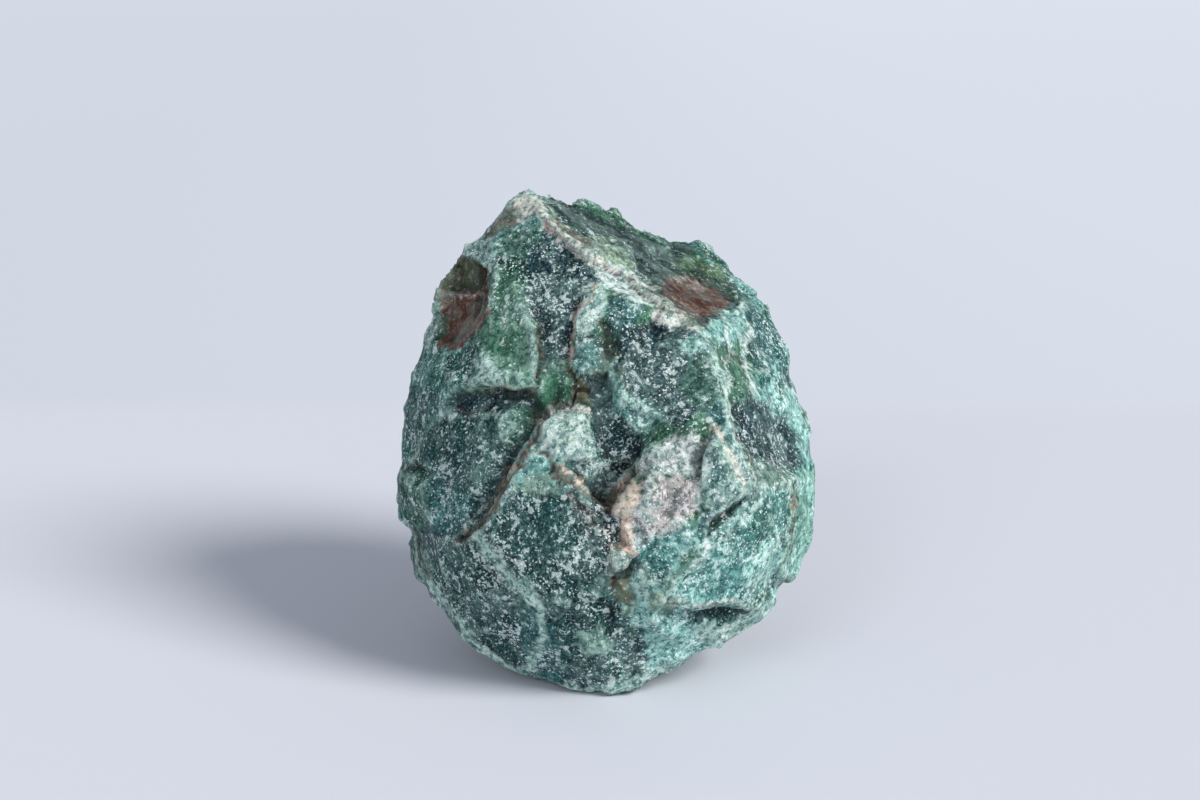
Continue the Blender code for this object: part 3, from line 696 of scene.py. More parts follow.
# %% Veins and cracks
# name, pigment, width in millimetres, points across and up
VEINS = [
    ("brow", "cream", 2.4, [(-19, 58.5), (-16.5, 55.5), (-14, 52.5), (-11.5, 49), (-8.5, 47),
        (-5.5, 45), (-2, 42.5)]),
    ("brow middle", "cream", 1.6, [(-2, 42.5), (2, 41), (6, 38), (10.5, 34.5), (14, 32.5),
        (17.5, 29.5), (22, 26.5)]),
    ("upper thin edge", "cream green", 0.5, [(-15, 57.5), (-11.5, 52), (-5.5, 49), (1.5, 48),
        (4, 44.5), (6, 41), (10.5, 37), (14, 34), (18.5, 30), (22.5, 27)]),
    ("right edge", "pale mint", 1.4, [(22.5, 26.5), (25, 21), (27.5, 14), (29, 7), (31, 0.5),
        (33.5, -5.5), (37.5, -11)]),
    ("right edge pink", "tan pink", 0.8, [(26.5, 3.5), (28.5, -0.5), (31, -6.5), (33.5, -12)]),
    ("rib line", "tan pink", 0.8, [(-2, 37.5), (-5.5, 33), (-7.5, 28.5), (-8.5, 22.5),
        (-9.5, 18)]),
    ("panel lip", "cream green", 0.9, [(-36.5, 11), (-32, 12), (-27, 13), (-22.5, 12),
        (-17.5, 13)]),
    ("panel side", "sage", 1, [(-21.5, 37), (-19, 31), (-17, 26.5), (-16.5, 20.5), (-17, 13)]),
    ("scar outside", "rust", 0.8, [(-29, 41), (-28.5, 37), (-28.5, 31), (-30.5, 26.5), (-34.5, 23),
        (-40.5, 22)]),
    ("scar crack", "pink grey", 0.7, [(-40.5, 35), (-36, 34.5), (-32, 34.5), (-29, 35)]),
    ("left white", "pale mint", 1.6, [(-49, -8), (-47.5, -5.5), (-46, -4)]),
    ("split lip", "tan pink", 1, [(-18, -1.5), (-20.5, -5), (-23, -8), (-25, -12), (-28.5, -18.5),
        (-31, -21.5), (-34, -22.5)]),
    ("split lip top", "cream", 1, [(-16.5, 3.5), (-10.5, 8), (-5, 7)]),
    ("plate top edge", "tan pink", 0.4, [(-16, -2.5), (-12.5, -5.5), (-9, -8.5), (-3.5, -13),
        (0.5, -16)]),
    ("nose edge", "tan pink", 1.2, [(6, -8.5), (3, -10.5), (0, -15.5), (3, -19), (5, -24.5),
        (6.5, -26.5)]),
    ("tooth left", "mint white", 1, [(25.5, 1.5), (23.5, -3.5), (22.5, -10), (22, -16)]),
    ("tooth right", "cream", 0.9, [(26.5, 3.5), (29, -1.5), (31.5, -7.5), (33.5, -12)]),
    ("tooth foot", "pale mint", 0.8, [(33.5, -12.5), (28.5, -16), (24.5, -19.5), (23, -23.5)]),
    ("streak", "pale mint", 1.3, [(36.5, -15), (30.5, -21), (24.5, -27), (19, -32), (15.5, -36),
        (16, -38)]),
    ("wedge low", "pale mint", 0.9, [(34, -15), (29, -20), (23, -24.5), (18.5, -28.5)]),
    ("right bead", "pale sage", 1, [(44, -10), (44.5, -14), (43.5, -19), (43.5, -24.5),
        (42, -29.5), (40.5, -35.5)]),
    ("right bead rust", "rust orange", 0.5, [(44, -11), (44.5, -15), (44, -18.5)]),
    ("cave lip", "cream", 0.9, [(16, -39), (20, -39.5), (25, -39), (29.5, -38.5), (33.5, -40)]),
    ("vein y left", "pale mint", 0.8, [(34.5, -25), (38, -30), (38, -34.5)]),
    ("vein y right", "pale mint", 0.7, [(42, -22), (39.5, -26), (38, -30)]),
    ("low left ridge", "pale mint", 2.2, [(-32, -22), (-28, -27.5), (-24, -32), (-20.5, -35.5),
        (-18, -38)]),
    ("low left ridge two", "pale mint", 2, [(-19, -33), (-16, -39.5), (-15, -47.5), (-18, -55)]),
    ("low left ridge three", "pale mint", 1.8, [(-43, -33.5), (-37.5, -40.5), (-32, -48),
        (-26.5, -52.5), (-20, -56)]),
    ("front rim", "pale mint", 1.6, [(-20, -56), (-12, -59), (-3.5, -60), (3, -59), (10, -56)]),
    ("right rim", "pale mint", 1.4, [(10, -56), (16.5, -54), (25, -49.5), (33, -46), (39.5, -39)]),
    ("lump edge", "pale mint", 1, [(-46, -23), (-44.5, -29.5), (-42.5, -34)]),
    ("right mint one", "mint white", 1.2, [(32.5, 32.5), (33.5, 26.5), (33, 19), (35, 12)]),
    ("right mint two", "mint", 1.2, [(41.5, 19), (39.5, 12), (44, 7), (47.5, 0.5)]),
    ("right mint three", "mint white", 0.8, [(27.5, 30), (29.5, 22.5), (29, 15.5), (28.5, 10.5)]),
    ("dark panel edge", "pale mint", 1, [(2, 19), (0.5, 15.5), (2, 11.5), (8, 6.5)]),
    ("knob edge", "sage", 0.7, [(-15.5, 17), (-9, 18), (-7.5, 15.5)]),
    ("swirl fold one", "leaf green", 0.7, [(-14, 3.5), (-10.5, 4.5), (-8, 3), (-9, -0.5),
        (-13, -1.5)]),
    ("swirl fold two", "leaf green", 0.7, [(-12, 7), (-8, 6.5), (-5.5, 2), (-4.5, -3)]),
    ("brow pink", "pink grey", 0.9, [(-17.5, 57.5), (-14, 51.5), (-10, 47.5)]),
]

# the long split is both a crack and, below, a step
MAIN_SPLIT = [
    (-9, 8.5), (-12, 8), (-14.5, 5.5), (-17, 3.5), (-17, 1), (-18.5, -1.5), (-20.5, -5),
    (-23, -8.5), (-25.5, -13), (-29, -19), (-32, -22), (-36, -24),
]

# name, width in millimetres, points across and up
CRACKS = [
    ("main split", 1, [(-4.5, 12), (-7.5, 12), *MAIN_SPLIT]),
    ("split branch", 0.7, [(-17, 1), (-15, -2.5), (-13.5, -5.5), (-12, -8)]),
    ("panel shadow", 0.5, [(-31, 11.5), (-26.5, 12), (-22, 11.5), (-17.5, 12)]),
    ("panel side", 0.7, [(-16.5, 12), (-16, 19), (-16.5, 26)]),
    ("scar inside", 0.9, [(-29, 41), (-29, 37), (-29, 32.5)]),
    ("notch", 1.4, [(7, -7.5), (4.5, -10.5), (2, -14), (0, -17)]),
    ("grey lump", 0.9, [(5.5, -30), (3.5, -31.5), (1.5, -33.5)]),
    ("rust squiggle", 0.6, [(-34.5, 8), (-33.5, 6), (-31, 6), (-28, 7)]),
    ("knob rust", 0.6, [(-9.5, 18), (-8, 15), (-7.5, 11.5)]),
    ("tooth side", 0.7, [(25.5, 3), (23, -1.5), (22, -6.5), (21.5, -9)]),
    ("wedge", 0.4, [(33.5, -13), (28.5, -17), (24.5, -20.5)]),
    ("right line", 0.4, [(29.5, 9), (31, 2), (33.5, -4), (36.5, -10)]),
    ("brow under", 0.5, [(0.5, 40.5), (6, 37.5), (10.5, 33), (16, 31), (20.5, 28)]),
    ("top ledge", 0.5, [(6, 41), (9.5, 37.5), (13.5, 34)]),
    ("left step", 0.7, [(-49.5, -7.5), (-48, -5.5), (-45.5, -6)]),
    ("low lump", 0.8, [(-47, -22), (-45.5, -23.5), (-44.5, -28.5), (-43, -33)]),
    ("plate grey top", 0.6, [(-14, -7), (-10, -12), (-5.5, -17), (-0.5, -22)]),
    ("bead shadow", 0.5, [(45, -10), (45.5, -15), (44.5, -20), (44, -25), (43, -30)]),
    ("right squiggle", 0.5, [(28.5, 19), (30.5, 20.5), (32.5, 18), (33.5, 15.5)]),
]
print(len(VEINS), "veins and", len(CRACKS), "cracks")

# %% [markdown]
# ## Steps and raised spots
#
# Where one layer of the stone broke off over another there is a step: the surface drops at once on
# one side of a line and climbs back slowly. Some patches also stand proud as whole lumps, or lie in
# a bowl, as the rusty scar does. Both are given in the same view as the patches, and both are real
# relief on the skin.

# %% Steps, lumps and bowls
# name, drop and reach in millimetres, points across and up with the low side on the right hand
STEPS = [
    ("main split", 2.0, 7.0, MAIN_SPLIT),
    ("left of the nose", 2.4, 7.0, [(8, -6), (4.5, -10.5), (2, -14), (0, -17)]),
    ("under the grey lump", 1.4, 4.0, [(-1, -35), (1.5, -33.5), (3.5, -31.5), (5.5, -30),
        (7, -27)]),
    ("under the green panel", 0.9, 4.5, [(-38, 10.5), (-31, 11.5), (-26.5, 12), (-22, 11.5),
        (-17.5, 12.5)]),
    ("green panel's right side", 0.9, 5.0, [(-16.5, 13), (-16, 19), (-16.5, 26), (-19, 33)]),
    ("scar's rim", 1.1, 6.0, [(-31, 43), (-29, 41), (-28.7, 37), (-28.7, 32.5), (-31, 27)]),
    ("left of the tooth", 1.2, 4.0, [(25.5, 3), (23.5, -2), (22.3, -7), (21.8, -14)]),
    ("under the tooth", 0.3, 4.0, [(23, -23.5), (25, -20), (28.5, -16.5), (33.5, -12.5)]),
    ("right fold", 1.1, 4.0, [(37, -10.5), (33.5, -4.5), (31, 1.5), (29.3, 9)]),
    ("under the brow", 1.0, 6.0, [(-16, 54), (-10, 48), (-4, 43.5), (3, 40), (9, 35), (16, 31)]),
    ("cream wedge", 0.9, 4.0, [(10, 30.5), (13, 26.3), (18, 27), (22, 25.5)]),
    ("low lump", 1.4, 5.0, [(-46, -22), (-45, -24), (-44.3, -28.5), (-42.5, -34)]),
    ("left step", 1.2, 4.5, [(-50, -7.5), (-48, -6), (-45, -6), (-42, -9)]),
    ("knob", 1.1, 4.0, [(-17.3, 6), (-13.5, 6.2), (-9.5, 8.3), (-7.8, 12)]),
    ("plate's right edge", 1.2, 5.0, [(2.5, -17), (-0.5, -14), (-6, -9), (-11, -5)]),
    ("grey corner", 1.0, 4.0, [(7, -27), (6, -23), (3.5, -18.5)]),
    ("cave's roof", 0.5, 4.0, [(17, -40.2), (24.5, -39.4), (32, -39.6), (34.5, -41)]),
    ("low ridge", 1.0, 4.0, [(-13, -47), (-16.5, -39.5), (-22, -34), (-29, -27.5)]),
    ("rib", 0.9, 4.0, [(-6, 36.5), (-8, 29), (-8.5, 22), (-9, 18)]),
    ("far right bead", 0.8, 3.0, [(43, -30), (44.3, -23), (44.6, -16), (44.5, -10)]),
    ("diagonal", 0.9, 5.0, [(-0.5, 18), (1.5, 12), (6, 7.5), (14, 4.5)]),
    ("low right plate", 0.8, 4.0, [(16, -37), (20, -31.5), (26, -25.5), (32, -20)]),
]

# patch: height in millimetres, below zero for a bowl
HEIGHTS = {
    "swirl": 1.2, "green knob": 0.9, "green lump": 1.0, "grey lump": 0.9, "rib": 0.8,
    "nose left": 0.7, "nose right": 0.5, "tooth": 0.8, "pale plate patch": 0.5, "mint patch": 0.6,
    "cream lobe": 0.6, "lens patch": 0.6, "left ledge": 0.8, "cream wedge": 0.6,
    "fibrous patch": 0.4, "green panel": 0.6, "white streak": 0.4, "middle mint": 0.5,
    "diagonal mint": 0.5, "sage wedge": 0.5, "cream patch": 0.5, "cave": -0.25,
    "scar upper half": -0.6, "scar lower half": -0.6, "olive hollow": -0.4,
    "under the panel lip": -0.4, "dark column": -0.7, "wedge under the tooth": -0.3,
    "rust patch": -0.5, "right dark round": -0.5, "upper dark panel": -0.4, "swirl tail": -0.5,
}
print(len(STEPS), "steps and", len(HEIGHTS), "lumps and bowls")

# %% [markdown]
# ## Finding each corner in the view
#
# A corner's place in the view is its offset from the middle, divided by how much nearer or farther
# it lies than the middle. Corners that face away from the viewer get none of the listed marks.

# %% Where each corner is seen
FAR = 1e9  # farther than any mark
STEP_EDGE = 0.35  # half the width of a step's sharp side, in millimetres
STEP_END = 3.0  # a step fades over this length at either end,
STEP_END_SHARE = 0.3  # or over this share of a short one


def seen_from_eye(corners):
    """Millimetres across and up in the view."""
    offset = corners - np.array(VIEW_MIDDLE)
    spread = (EYE_DISTANCE + offset @ np.array(away_axis)) / EYE_DISTANCE
    across = offset[:, 0] / spread / MM
    up = offset @ np.array(up_axis) / spread / MM
    return np.stack([across, up], axis=1)


def facing_eye(corners, normals):
    return np.einsum("ij,ij->i", unit(np.array(eye) - corners), normals)


def from_line(spots, start, end):
    """For each spot: the share of the line up to its nearest point, and the offset from there."""
    run = end - start
    share = np.clip((spots - start) @ run / (run @ run), 0.0, 1.0)
    offset = spots - start - share[:, None] * run
    return share, offset, np.linalg.norm(offset, axis=1)


def below_step(spots, path, reach):
    """How strongly a spot lies in a step's drop: 1 at the line's right hand, less farther off."""
    nearest = np.full(len(spots), FAR)
    side = np.zeros(len(spots))
    along = np.zeros(len(spots))
    points = np.array(path, dtype=float)
    runs = np.diff(points, axis=0)
    lengths = np.linalg.norm(runs, axis=1)
    walked = np.concatenate([[0.0], np.cumsum(lengths)])
    for i, run in enumerate(runs):
        share, offset, gap = from_line(spots, points[i], points[i + 1])
        closer = gap < nearest
        nearest[closer] = gap[closer]
        side[closer] = (offset[:, 0] * run[1] - offset[:, 1] * run[0])[closer] / lengths[i]
        along[closer] = (walked[i] + share * lengths[i])[closer]
    low = np.where(side > 0, nearest, -nearest)
    fade = min(STEP_END, walked[-1] * STEP_END_SHARE)
    ends = slope(np.minimum(along, walked[-1] - along), 0.0, fade)
    return slope(low, -STEP_EDGE, STEP_EDGE) * slope(low, reach, 0.0) * ends


def distance_to_path(spots, path):
    nearest = np.full(len(spots), FAR)
    for start, end in zip(np.array(path[:-1]), np.array(path[1:])):
        nearest = np.minimum(nearest, from_line(spots, start, end)[2])
    return nearest


def depth_inside(spots, outline):
    """How far inside the outline each spot lies; outside, the distance with a minus."""
    inside = np.zeros(len(spots), dtype=bool)
    ring = [*outline, outline[0]]
    for (ax, ay), (bx, by) in zip(ring[:-1], ring[1:]):
        if ay == by:
            continue
        straddles = (spots[:, 1] > ay) != (spots[:, 1] > by)
        crossing = ax + (spots[:, 1] - ay) * (bx - ax) / (by - ay)
        inside ^= straddles & (spots[:, 0] < crossing)
    gap = distance_to_path(spots, ring)
    return np.where(inside, gap, -gap)


# %% [markdown]
# ## Thin rims
#
# Behind the top facet the solid ends in rims that are thinner than a millimetre in places. A real
# stone would have broken off there. A ray from each corner straight inward measures how much stone
# lies behind it, and where that is little, the skin is rounded back. The flat spot underneath stays
# flat, because the stone rests on it.

# %% Round back the thin rims
FOOT_TOP = 0.4 * MM
RIM_LOWEST = (FOOT_TOP * 5, FOOT_TOP * 15)  # no rounding below the first height
RAY_START = 0.05 * MM
RAY_REACH = 7.0 * MM
RIM_THICK = 3.2 * MM
RIM_THIN = 2.0 * MM
DEPTH_ROUNDS = 8
RIM_ROUNDS = 70


def stone_behind(item, corners, normals):
    """How much stone lies behind each corner, straight inward."""
    tree = BVHTree.FromObject(item, bpy.context.evaluated_depsgraph_get())
    depths = np.full(len(corners), RAY_REACH)
    for i, (corner, normal) in enumerate(zip(corners, normals)):
        inward = Vector(-normal)
        hit = tree.ray_cast(Vector(corner) + inward * RAY_START, inward, RAY_REACH)
        if hit[0] is not None:
            depths[i] = hit[3]
    return depths


def round_rims(item):
    corners = read_corners(item)
    edges = read_edges(item)
    depths = stone_behind(item, corners, unit(smoothed(read_normals(item), edges, 1)))
    thin = slope(smoothed(depths, edges, DEPTH_ROUNDS), RIM_THICK, RIM_THIN)[:, None]
    thin *= slope(corners[:, 2], *RIM_LOWEST)[:, None]
    write_corners(item, corners + (smoothed(corners, edges, RIM_ROUNDS) - corners) * thin)
    return int((thin > 0.5).sum())


print("corners on thin rims:", round_rims(stone))

# %% [markdown]
# ## Relief of the marks
#
# The steps, lumps and bowls come first. Then the cracks are pressed in and the veins lifted, so
# that all of them catch real shadow. A colour alone would look printed on. Veins that are folds
# are pressed in as well.

# %% Relief of the marks
LUMP_BORDER = (-0.3, 1.3)  # millimetres inside a patch, from no lift to all of it
CRACK_DEPTH = 0.8 * MM
CRACK_REACH = 0.7  # share of a crack's width, to either side
VEIN_HEIGHT = 0.45 * MM
VEIN_TOP = 0.2  # share of a vein's width
VEIN_FULL_WIDTH = 2  # millimetres; a thinner vein is lower
FOLD_DEPTH = 2


def marks_relief(spots):
    """How far the marks move each corner outward, in metres."""
    shift = np.zeros(len(spots))
    for _, drop, reach, path in STEPS:
        shift -= below_step(spots, path, reach) * drop * MM
    for name, _, _, outline in PATCHES:
        if name in HEIGHTS:
            shift += slope(depth_inside(spots, outline), *LUMP_BORDER) * HEIGHTS[name] * MM
    press = np.zeros(len(spots))
    for _, width, path in CRACKS:
        cut = slope(distance_to_path(spots, path), width * CRACK_REACH, 0.0)
        press = np.maximum(press, cut * min(1.0, width))
    lift = np.zeros(len(spots))
    for name, _, width, path in VEINS:
        raised = slope(distance_to_path(spots, path), width, width * VEIN_TOP)
        raised = raised * min(1.0, width / VEIN_FULL_WIDTH)
        if "fold" in name:
            lift = np.minimum(lift, -raised * FOLD_DEPTH)
        else:
            lift = np.maximum(lift, raised)
    return shift + lift * VEIN_HEIGHT - press * CRACK_DEPTH


# %% [markdown]
# ## The hackly break
#
# Small tilted plates and sharp little ridges cover the whole skin, as on any broken stone of this
# kind. They could be a bump in the material, but the outline would then stay smooth. Slick patches
# have less of them, and the flat spot underneath has none.

# %% Shape the skin
PLATES = [(9.0 * MM, 0.60 * MM), (3.6 * MM, 0.18 * MM)]  # size and height
RIDGES = [(2.4 * MM, 0.07 * MM), (1.3 * MM, 0.06 * MM)]
RIDGE_MIDDLE = 0.35
BEND_SIZE = 3 * MM
BEND = 1.5 * MM  # how far the plates' borders wander
SLICK_BORDER = (-1.0, 2.0)
SLICK_CALM = 0.8
WOBBLE_SIZE = 2.5 * MM
WOBBLE = 0.5  # millimetres that a mark's line wanders
NORMAL_ROUNDS = 2
AROUND_ROUNDS = 8
EDGE_SHARPNESS = (0.5, 0.85)  # from no relief on a knife edge to all of it
FRONT_FACING = (0.12, 0.42)


def hackly_relief(corners):
    """The height of plates and ridges at each corner, and the plates' random numbers."""
    bent = corners + noise_vectors_at(corners, BEND_SIZE) * BEND
    rough = np.zeros(len(corners))
    shades = []
    for size, height in PLATES:
        heights, shade, _ = plates_at(bent, size)
        rough += heights * height
        shades.append(shade)
    for size, height in RIDGES:
        rough += (RIDGE_MIDDLE - np.abs(noise_at(corners, size))) * 2 * height
    return rough, shades


def hackly_share(spots, front):
    share = np.ones(len(spots))
    for _, pigment, _, outline in PATCHES:
        slick = PIGMENTS[pigment][2]
        inside = slope(depth_inside(spots, outline), *SLICK_BORDER)
        share = np.minimum(share, 1 - inside * slick * front * SLICK_CALM)
    return share


def shape_skin(item):
    corners = read_corners(item)
    edges = read_edges(item)
    normals = unit(smoothed(read_normals(item), edges, NORMAL_ROUNDS))
    around = smoothed(normals, edges, AROUND_ROUNDS)
    blunt = slope(np.linalg.norm(around, axis=1), *EDGE_SHARPNESS)
    front = slope(facing_eye(corners, unit(around)), *FRONT_FACING)
    spots = seen_from_eye(corners) + noise_vectors_at(corners, WOBBLE_SIZE)[:, :2] * WOBBLE
    rough, shades = hackly_relief(corners)
    rise = marks_relief(spots) * front + rough * hackly_share(spots, front)
    rise *= slope(corners[:, 2], 0.0, FOOT_TOP * 2) * blunt
    write_corners(item, corners + normals * rise[:, None])
    return shades


plate_shades = shape_skin(stone)
shaped = read_corners(stone)
print("shaped skin in mm:", in_mm([shaped.min(axis=0).tolist(), shaped.max(axis=0).tolist()]))

# %% [markdown]
# ## Laying pigments
#
# Every corner starts with the pigment of a random cell, as the back and the sides have no marks
# of their own. Five values are laid at once: red, green and blue, how many white grains, and how
# slick. Small plates are then a little lighter or darker than their neighbours.

# %% Cells and plates of pigment
SEAM_AND_HIGHLIGHT_PIGMENT = "pale mint"
CELL_PIGMENTS = ["deep green", "ink teal", "leaf teal", "teal mix", "emerald", "ink teal", "mint",
                 "leaf green", "deep green", "grey mint", "teal mint", "olive dark"]
CELL_SIZE = 17 * MM
CELL_BEND_SIZE = 9 * MM
CELL_BEND = 4  # millimetres that a cell's border wanders
SEAM_WIDTHS = (1.6 * MM, 0.2 * MM)
SEAM_COVER = 0.7
CELLS_WITHOUT_SEAM = 0.35
PLATE_CONTRAST = (0.35, 0.28)
PALE_PLATES = 0.55
GRAINS, SLICK = 3, 4  # columns of a pigment's values, after red, green and blue


def pigment_values(name):
    colour, grains, slick = PIGMENTS[name]
    return np.array([*linear(*colour), grains, slick])


def lay(layers, pigment, cover):
    layers += (pigment_values(pigment) - layers) * cover[:, None]


def lay_cells(corners):
    """Random patches for the whole stone, with pale seams round most of them."""
    bent = corners + noise_vectors_at(corners, CELL_BEND_SIZE) * CELL_BEND * MM
    _, shades, gaps = plates_at(bent, CELL_SIZE)
    choice = (shades[:, 0] * len(CELL_PIGMENTS)).astype(int) % len(CELL_PIGMENTS)
    layers = np.array([pigment_values(name) for name in CELL_PIGMENTS])[choice]
    seam = slope(gaps, *SEAM_WIDTHS) * (shades[:, 1] > CELLS_WITHOUT_SEAM) * SEAM_COVER
    lay(layers, SEAM_AND_HIGHLIGHT_PIGMENT, seam)
    return layers


def vary_by_plate(layers, shades):
    for shade, strength in zip(shades, PLATE_CONTRAST):
        change = (shade[:, 0] - 0.5) * 2 * strength
        layers[:, :GRAINS] *= (1 + np.minimum(change, 0))[:, None]
        lay(layers, SEAM_AND_HIGHLIGHT_PIGMENT, np.maximum(change, 0) * PALE_PLATES)
        layers[:, GRAINS] += (shade[:, 1] - 0.5) * strength


# %% [markdown]
# ## Painting the corners
#
# The front's patches are laid over the cells, one after the other, with borders that noise frays.
# Veins follow, and pale pigment is laid on the ridges: partly as bruising, which a stone gets there
# first, and partly as a painted highlight on its edges. Three more numbers go to the material: how
# deep in a crack a corner lies, how near it is to one, as rust gathers there, and how deep in a
# hollow it lies, for the painted shade there.

# %% Paint the corners
FRAY = [(4.5 * MM, 1.3), (1.6 * MM, 0.8)]  # size of the noise, and how many mm a border moves
RAGGED_SIZE = 1.2 * MM
RAGGED_DEPTH = 20.0
FACING_ROUNDS = 6
PAINTED_FACING = (0.02, 0.2)
PATCH_RAGGED = 1.3
PATCH_BLUR = 0.35
LINE_RAGGED = 0.5
VEIN_WIDTHS = (0.65, 0.3)  # shares of the width, from no cover to all of it
VEIN_COVER = 0.9
CRACK_WIDTHS = (0.6, 0.1)
FRINGE_WIDTHS = (1.6, 0.4)
PROUD = [(4, 1.2), (35, 0.5), (150, 0.2)]  # rounds of smoothing, and what a millimetre counts
RIDGE_RAGGED = 0.35
RIDGE_RANGE = (0.35, 1.0)
RIDGE_COVER = 0.55
# how deep a hollow must be for its painted shade to start, and to be full
HOLLOW_RANGE = (0.10, 1.0)


def near(gap, width, widths):
    """0 beyond the first share of the width, 1 within the second."""
    return slope(gap, width * widths[0], width * widths[1])


def height_above(corners, normals, edges):
    """How far a corner stands above its surroundings, narrow and wide ones taken together."""
    proud = np.zeros(len(corners))
    for rounds, weight in PROUD:
        rise = np.einsum("ij,ij->i", corners - smoothed(corners, edges, rounds), normals) / MM
        proud += rise * weight
    return proud


def paint_corners(item, shades):
    corners = read_corners(item)
    normals = read_normals(item)
    edges = read_edges(item)
    spots = seen_from_eye(corners)
    for size, reach in FRAY:
        spots = spots + noise_vectors_at(corners, size)[:, :2] * reach
    facing = facing_eye(corners, unit(smoothed(normals, edges, FACING_ROUNDS)))
    front = slope(facing, *PAINTED_FACING)
    ragged = noise_at(corners, RAGGED_SIZE, RAGGED_DEPTH)
    layers = lay_cells(corners)
    for _, pigment, softness, outline in PATCHES:
        depth = depth_inside(spots, outline) + ragged * softness * PATCH_RAGGED
        blur = softness * PATCH_BLUR
        lay(layers, pigment, slope(depth, -blur, blur) * front)
    vary_by_plate(layers, shades)
    for _, pigment, width, path in VEINS:
        gap = distance_to_path(spots, path) + ragged * width * LINE_RAGGED
        lay(layers, pigment, near(gap, width, VEIN_WIDTHS) * front * VEIN_COVER)
    proud = height_above(corners, normals, edges)
    # pale on the ridges: partly bruising, partly a painted highlight on the edges
    ridge = slope(proud + ragged * RIDGE_RAGGED, *RIDGE_RANGE)
    lay(layers, SEAM_AND_HIGHLIGHT_PIGMENT, ridge * RIDGE_COVER * (1 - layers[:, SLICK] * SLICK_CALM))
    crack = np.zeros(len(corners))
    fringe = np.zeros(len(corners))
    for _, width, path in CRACKS:
        gap = distance_to_path(spots, path) + ragged * width * LINE_RAGGED
        crack = np.maximum(crack, near(gap, width, CRACK_WIDTHS) * front)
        fringe = np.maximum(fringe, near(gap, width, FRINGE_WIDTHS) * front)
    # the last value is how deep a corner lies in a hollow, for the painted shade there
    return layers, crack, fringe, slope(-proud, *HOLLOW_RANGE)


# %% [markdown]
# ## Values that the material can read
#
# A material can read an attribute, which is a named value for each corner, and blends it smoothly
# over the faces between. The colour is one attribute and each of the other numbers is another. An
# attribute follows the surface, so nothing slides when the camera moves.

# %% Store the values
NUMBERS = ["grains", "slick", "crack", "fringe", "hollow"]


def store_colour(item, name, colours):
    attribute = item.data.attributes.new(name, "FLOAT_COLOR", "POINT")
    values = np.ones((len(colours), 4), dtype=np.float32)
    values[:, :3] = colours
    attribute.data.foreach_set("color", values.ravel())


def store(item, name, values):
    attribute = item.data.attributes.new(name, "FLOAT", "POINT")
    attribute.data.foreach_set("value", np.ascontiguousarray(values, dtype=np.float32))


layers, *others = paint_corners(stone, plate_shades)
store_colour(stone, "tone", layers[:, :GRAINS])
for name, values in zip(NUMBERS, [layers[:, GRAINS], layers[:, SLICK], *others]):
    store(stone, name, values)
    print("mean of", name, round(float(values.mean()), 2))

# %% [markdown]
# ## The sugary stone material
#
# Up close the stone is a mass of small crystals. Dark green ones make the ground, and white ones
# lie in it like sugar, singly and in clumps. The material begins with its patterns: four noises of
# different sizes, one of them drawn out to fibres, and two sets of round cells, each with random
# numbers of its own. A photograph of grains would repeat or smear, and noise does neither.

# %% The patterns in the stone
BLOTCH = 3.0 * MM
FLECK = 1.3 * MM
FIBRE = 1.1 * MM
FIBRE_STRETCH = 0.4
FIBRE_TURN = math.radians(38)
SUGAR = 0.6 * MM
DOT = 0.8 * MM
NODULE = 4.5 * MM
WANDER_PER_DOT = 2.5  # a dot's outline wanders this often
WANDER = 0.8 * DOT

board = Board("serpentine")
place = board.node("ShaderNodeTexCoord", output="Object")
tone = board.attribute("tone", "Color")
grains, slick, crack, fringe, hollow = [board.attribute(name) for name in NUMBERS]


def scattered(place, size):
    """Round cells: the distance to each cell's middle, and two random numbers for each cell."""
    sockets = {"Vector": place, "Scale": 1 / size}
    distance = board.node("ShaderNodeTexVoronoi", sockets)
    shade = board.node("ShaderNodeTexVoronoi", sockets, "Color")
    return distance, *[board.node("ShaderNodeSeparateXYZ", {0: shade}, axis) for axis in "XY"]


def wandering(place):
    sockets = {"Vector": place, "Scale": WANDER_PER_DOT / DOT, "Detail": 1.0}
    wander = board.node("ShaderNodeTexNoise", sockets, "Color")
    push = board.node("ShaderNodeVectorMath", {0: wander, "Scale": WANDER}, operation="SCALE")
    return board.node("ShaderNodeVectorMath", {0: place, 1: push}, operation="ADD")


blotch = board.noise(place, BLOTCH, 4.0, 0.6)
grain = board.noise(place, FLECK, 3.0, 0.65)
turned = {"Vector": place, "Rotation": (0, FIBRE_TURN, 0), "Scale": (1, 1, FIBRE_STRETCH)}
fibre = board.noise(board.node("ShaderNodeMapping", turned), FIBRE, 3.0, 0.6)
sugar = board.noise(place, SUGAR, 2.0, 0.6)
bent = wandering(place)
dot_gap, dot_luck, dot_shade = scattered(bent, DOT)
nodule_gap, nodule_luck, _ = scattered(bent, NODULE)
print("nodes for the patterns:", len(board.tree.nodes))

# %% [markdown]
# ## The dark ground
#
# The ground is the corners' tone, mottled. Each layer below mixes a darker or paler tone into the
# one before it. The pair of numbers in a rise says where a noise starts to count and where it
# counts fully, and the factor after it says how strong the layer is. Slick faces are mottled less.

# %% The ground
DARK_SHARE = (0.14, 0.26, 0.29)  # of the tone's red, green and blue
SHADOW_SHARE = (0.14, 0.20, 0.22)
PALE_FIBRE = paint(176, 208, 198)
SLICK_CLEARS = 0.6

dark = board.shaded(tone, DARK_SHARE)
shadow = board.shaded(tone, SHADOW_SHARE)
light = board.mix(0.5, tone, PALE_FIBRE)
ground = board.mix(dot_luck * 0.35, tone, dark)
ground = board.mix(grain.rise(0.50, 0.41) * (0.95 - slick * SLICK_CLEARS), ground, dark)
ground = board.mix(blotch.rise(0.48, 0.39) * (0.65 - slick * 0.4), ground, dark)
ground = board.mix(fibre.rise(0.54, 0.66) * 0.3, ground, light)
# painted shade: hollows get a darker tone of their own colour, the deeper the darker
ground = board.mix(hollow * 0.85, ground, shadow)
print("nodes with the ground:", len(board.tree.nodes))

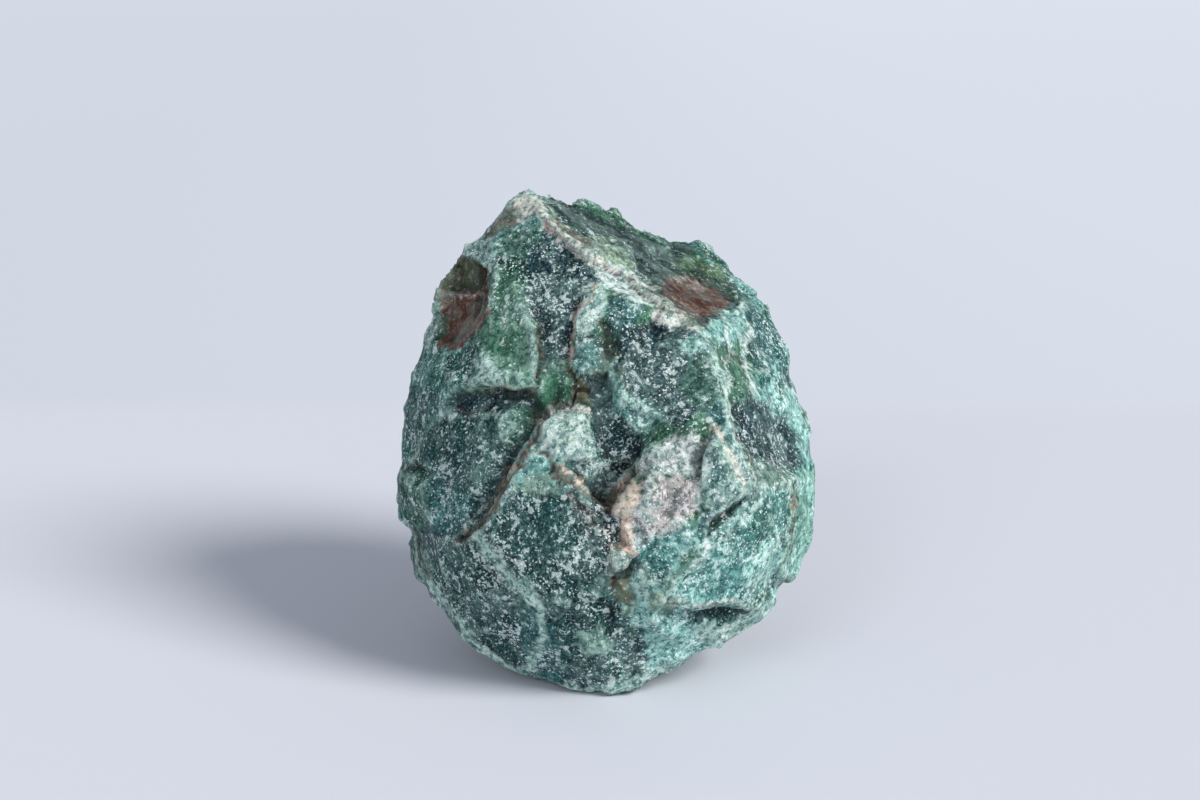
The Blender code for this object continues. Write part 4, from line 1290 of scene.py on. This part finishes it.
# %% [markdown]
# ## White grains
#
# Five kinds of pale speck lie on the ground: a fine salt, ragged flecks, a few wide nodules, round
# dots and tiny specks. Each is a pattern minus a threshold, and the grains attribute lowers that
# threshold, so that the dark faces sparkle and the slick ones stay clear. Hollows are in shade, so
# their grains are fainter.

# %% The grains
SALT_TONE = paint(150, 216, 202)
FLECK_TONE = paint(218, 234, 230)
GRAIN_TONE = paint(240, 246, 246)

clear = (1 - slick * SLICK_CLEARS) * (1 - hollow * 0.5)
salt = sugar.rise(0.50, 0.55) * (0.3 + grains * 0.6) * clear
flecks = (grain * 0.6 + blotch * 0.4 - (0.62 - grains * 0.13)).rise(0.0, 0.02)
nodules = (nodule_luck * 0.6 + grains * 0.2 - 0.46 - nodule_gap).rise(0.0, 0.06)
dots = (dot_luck * 0.5 + grains * 0.42 - 0.36 - dot_gap).rise(0.0, 0.05) * (dot_shade * 0.6 + 0.4)
specks = (sugar + grain * 0.3 - (0.87 - grains * 0.17)).rise(0.0, 0.03) * 0.85
fleck_tone = board.mix(0.35, FLECK_TONE, tone)
white = board.mix(0.1, GRAIN_TONE, tone)
colour = board.mix(salt * 0.5, ground, board.mix(0.35, tone, SALT_TONE))
colour = board.mix(flecks * clear * 0.85, colour, fleck_tone)
colour = board.mix(nodules * clear * 0.7, colour, board.mix(0.4, white, fleck_tone))
colour = board.mix(dots.larger(specks) * clear, colour, white)
print("nodes with the grains:", len(board.tree.nodes))

# %% [markdown]
# ## Rust, gloss and bump
#
# Rust gathers beside the cracks, and the cracks themselves are nearly black. The grains are a
# little glossier than the ground, as crystals are. They are too small to be modelled, so they get
# their height from a bump, while everything larger is real relief.

# %% Finish the material
RUST_TONE = paint(104, 70, 50)
CRACK_TONE = paint(24, 20, 16)
BUMP_DEPTH = 0.45 * MM
BUMP_STRENGTH = 0.8
SPECULAR = 0.2

colour = board.mix(fringe * grain.rise(0.44, 0.56) * 0.45, colour, RUST_TONE)
colour = board.mix(crack * 0.8, colour, CRACK_TONE)
rough = 0.55 - dots * 0.14 - slick * 0.12 + (grain - 0.5) * 0.4 + crack * 0.3
height = grain * 0.8 + blotch * 0.5 + fibre * 0.15 + sugar * 0.4 + dots * 0.2 + nodules * 0.5
height = height * (1 - slick * SLICK_CLEARS)
sockets = {"Strength": BUMP_STRENGTH, "Distance": BUMP_DEPTH, "Height": height}
bump = board.node("ShaderNodeBump", sockets, "Normal")
board.surface(Base_Color=colour, Roughness=rough, Normal=bump, Specular_IOR_Level=SPECULAR)
print("nodes in the material:", len(board.tree.nodes))

# %% [markdown]
# ## Putting it together
#
# The skin gets its material and is shaded smooth, except over sharp folds, where a broken stone is
# crisp. Then it is said what the piece stands for: it moves with the root body, and replaces the
# packed rock.

# %% Dress the stone
CREASE_ANGLE = math.radians(24)  # sharper folds than this stay crisp

stone.data.materials.append(board.material)
bpy.ops.object.shade_smooth_by_angle(angle=CREASE_ANGLE)
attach(stone, "root")
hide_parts("rock")
bpy.ops.object.select_all(action="DESELECT")
print("dressed:", stone.name)

# %% [markdown]
# ## Measure and finish
#
# The finished stone's box is printed, as the solid's was at the start, to see that dressing it
# hasn't changed its size.

# %% Print the dressed size and finish
dressed_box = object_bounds()
print("dressed stone, lowest and highest corner in mm:", in_mm(dressed_box))
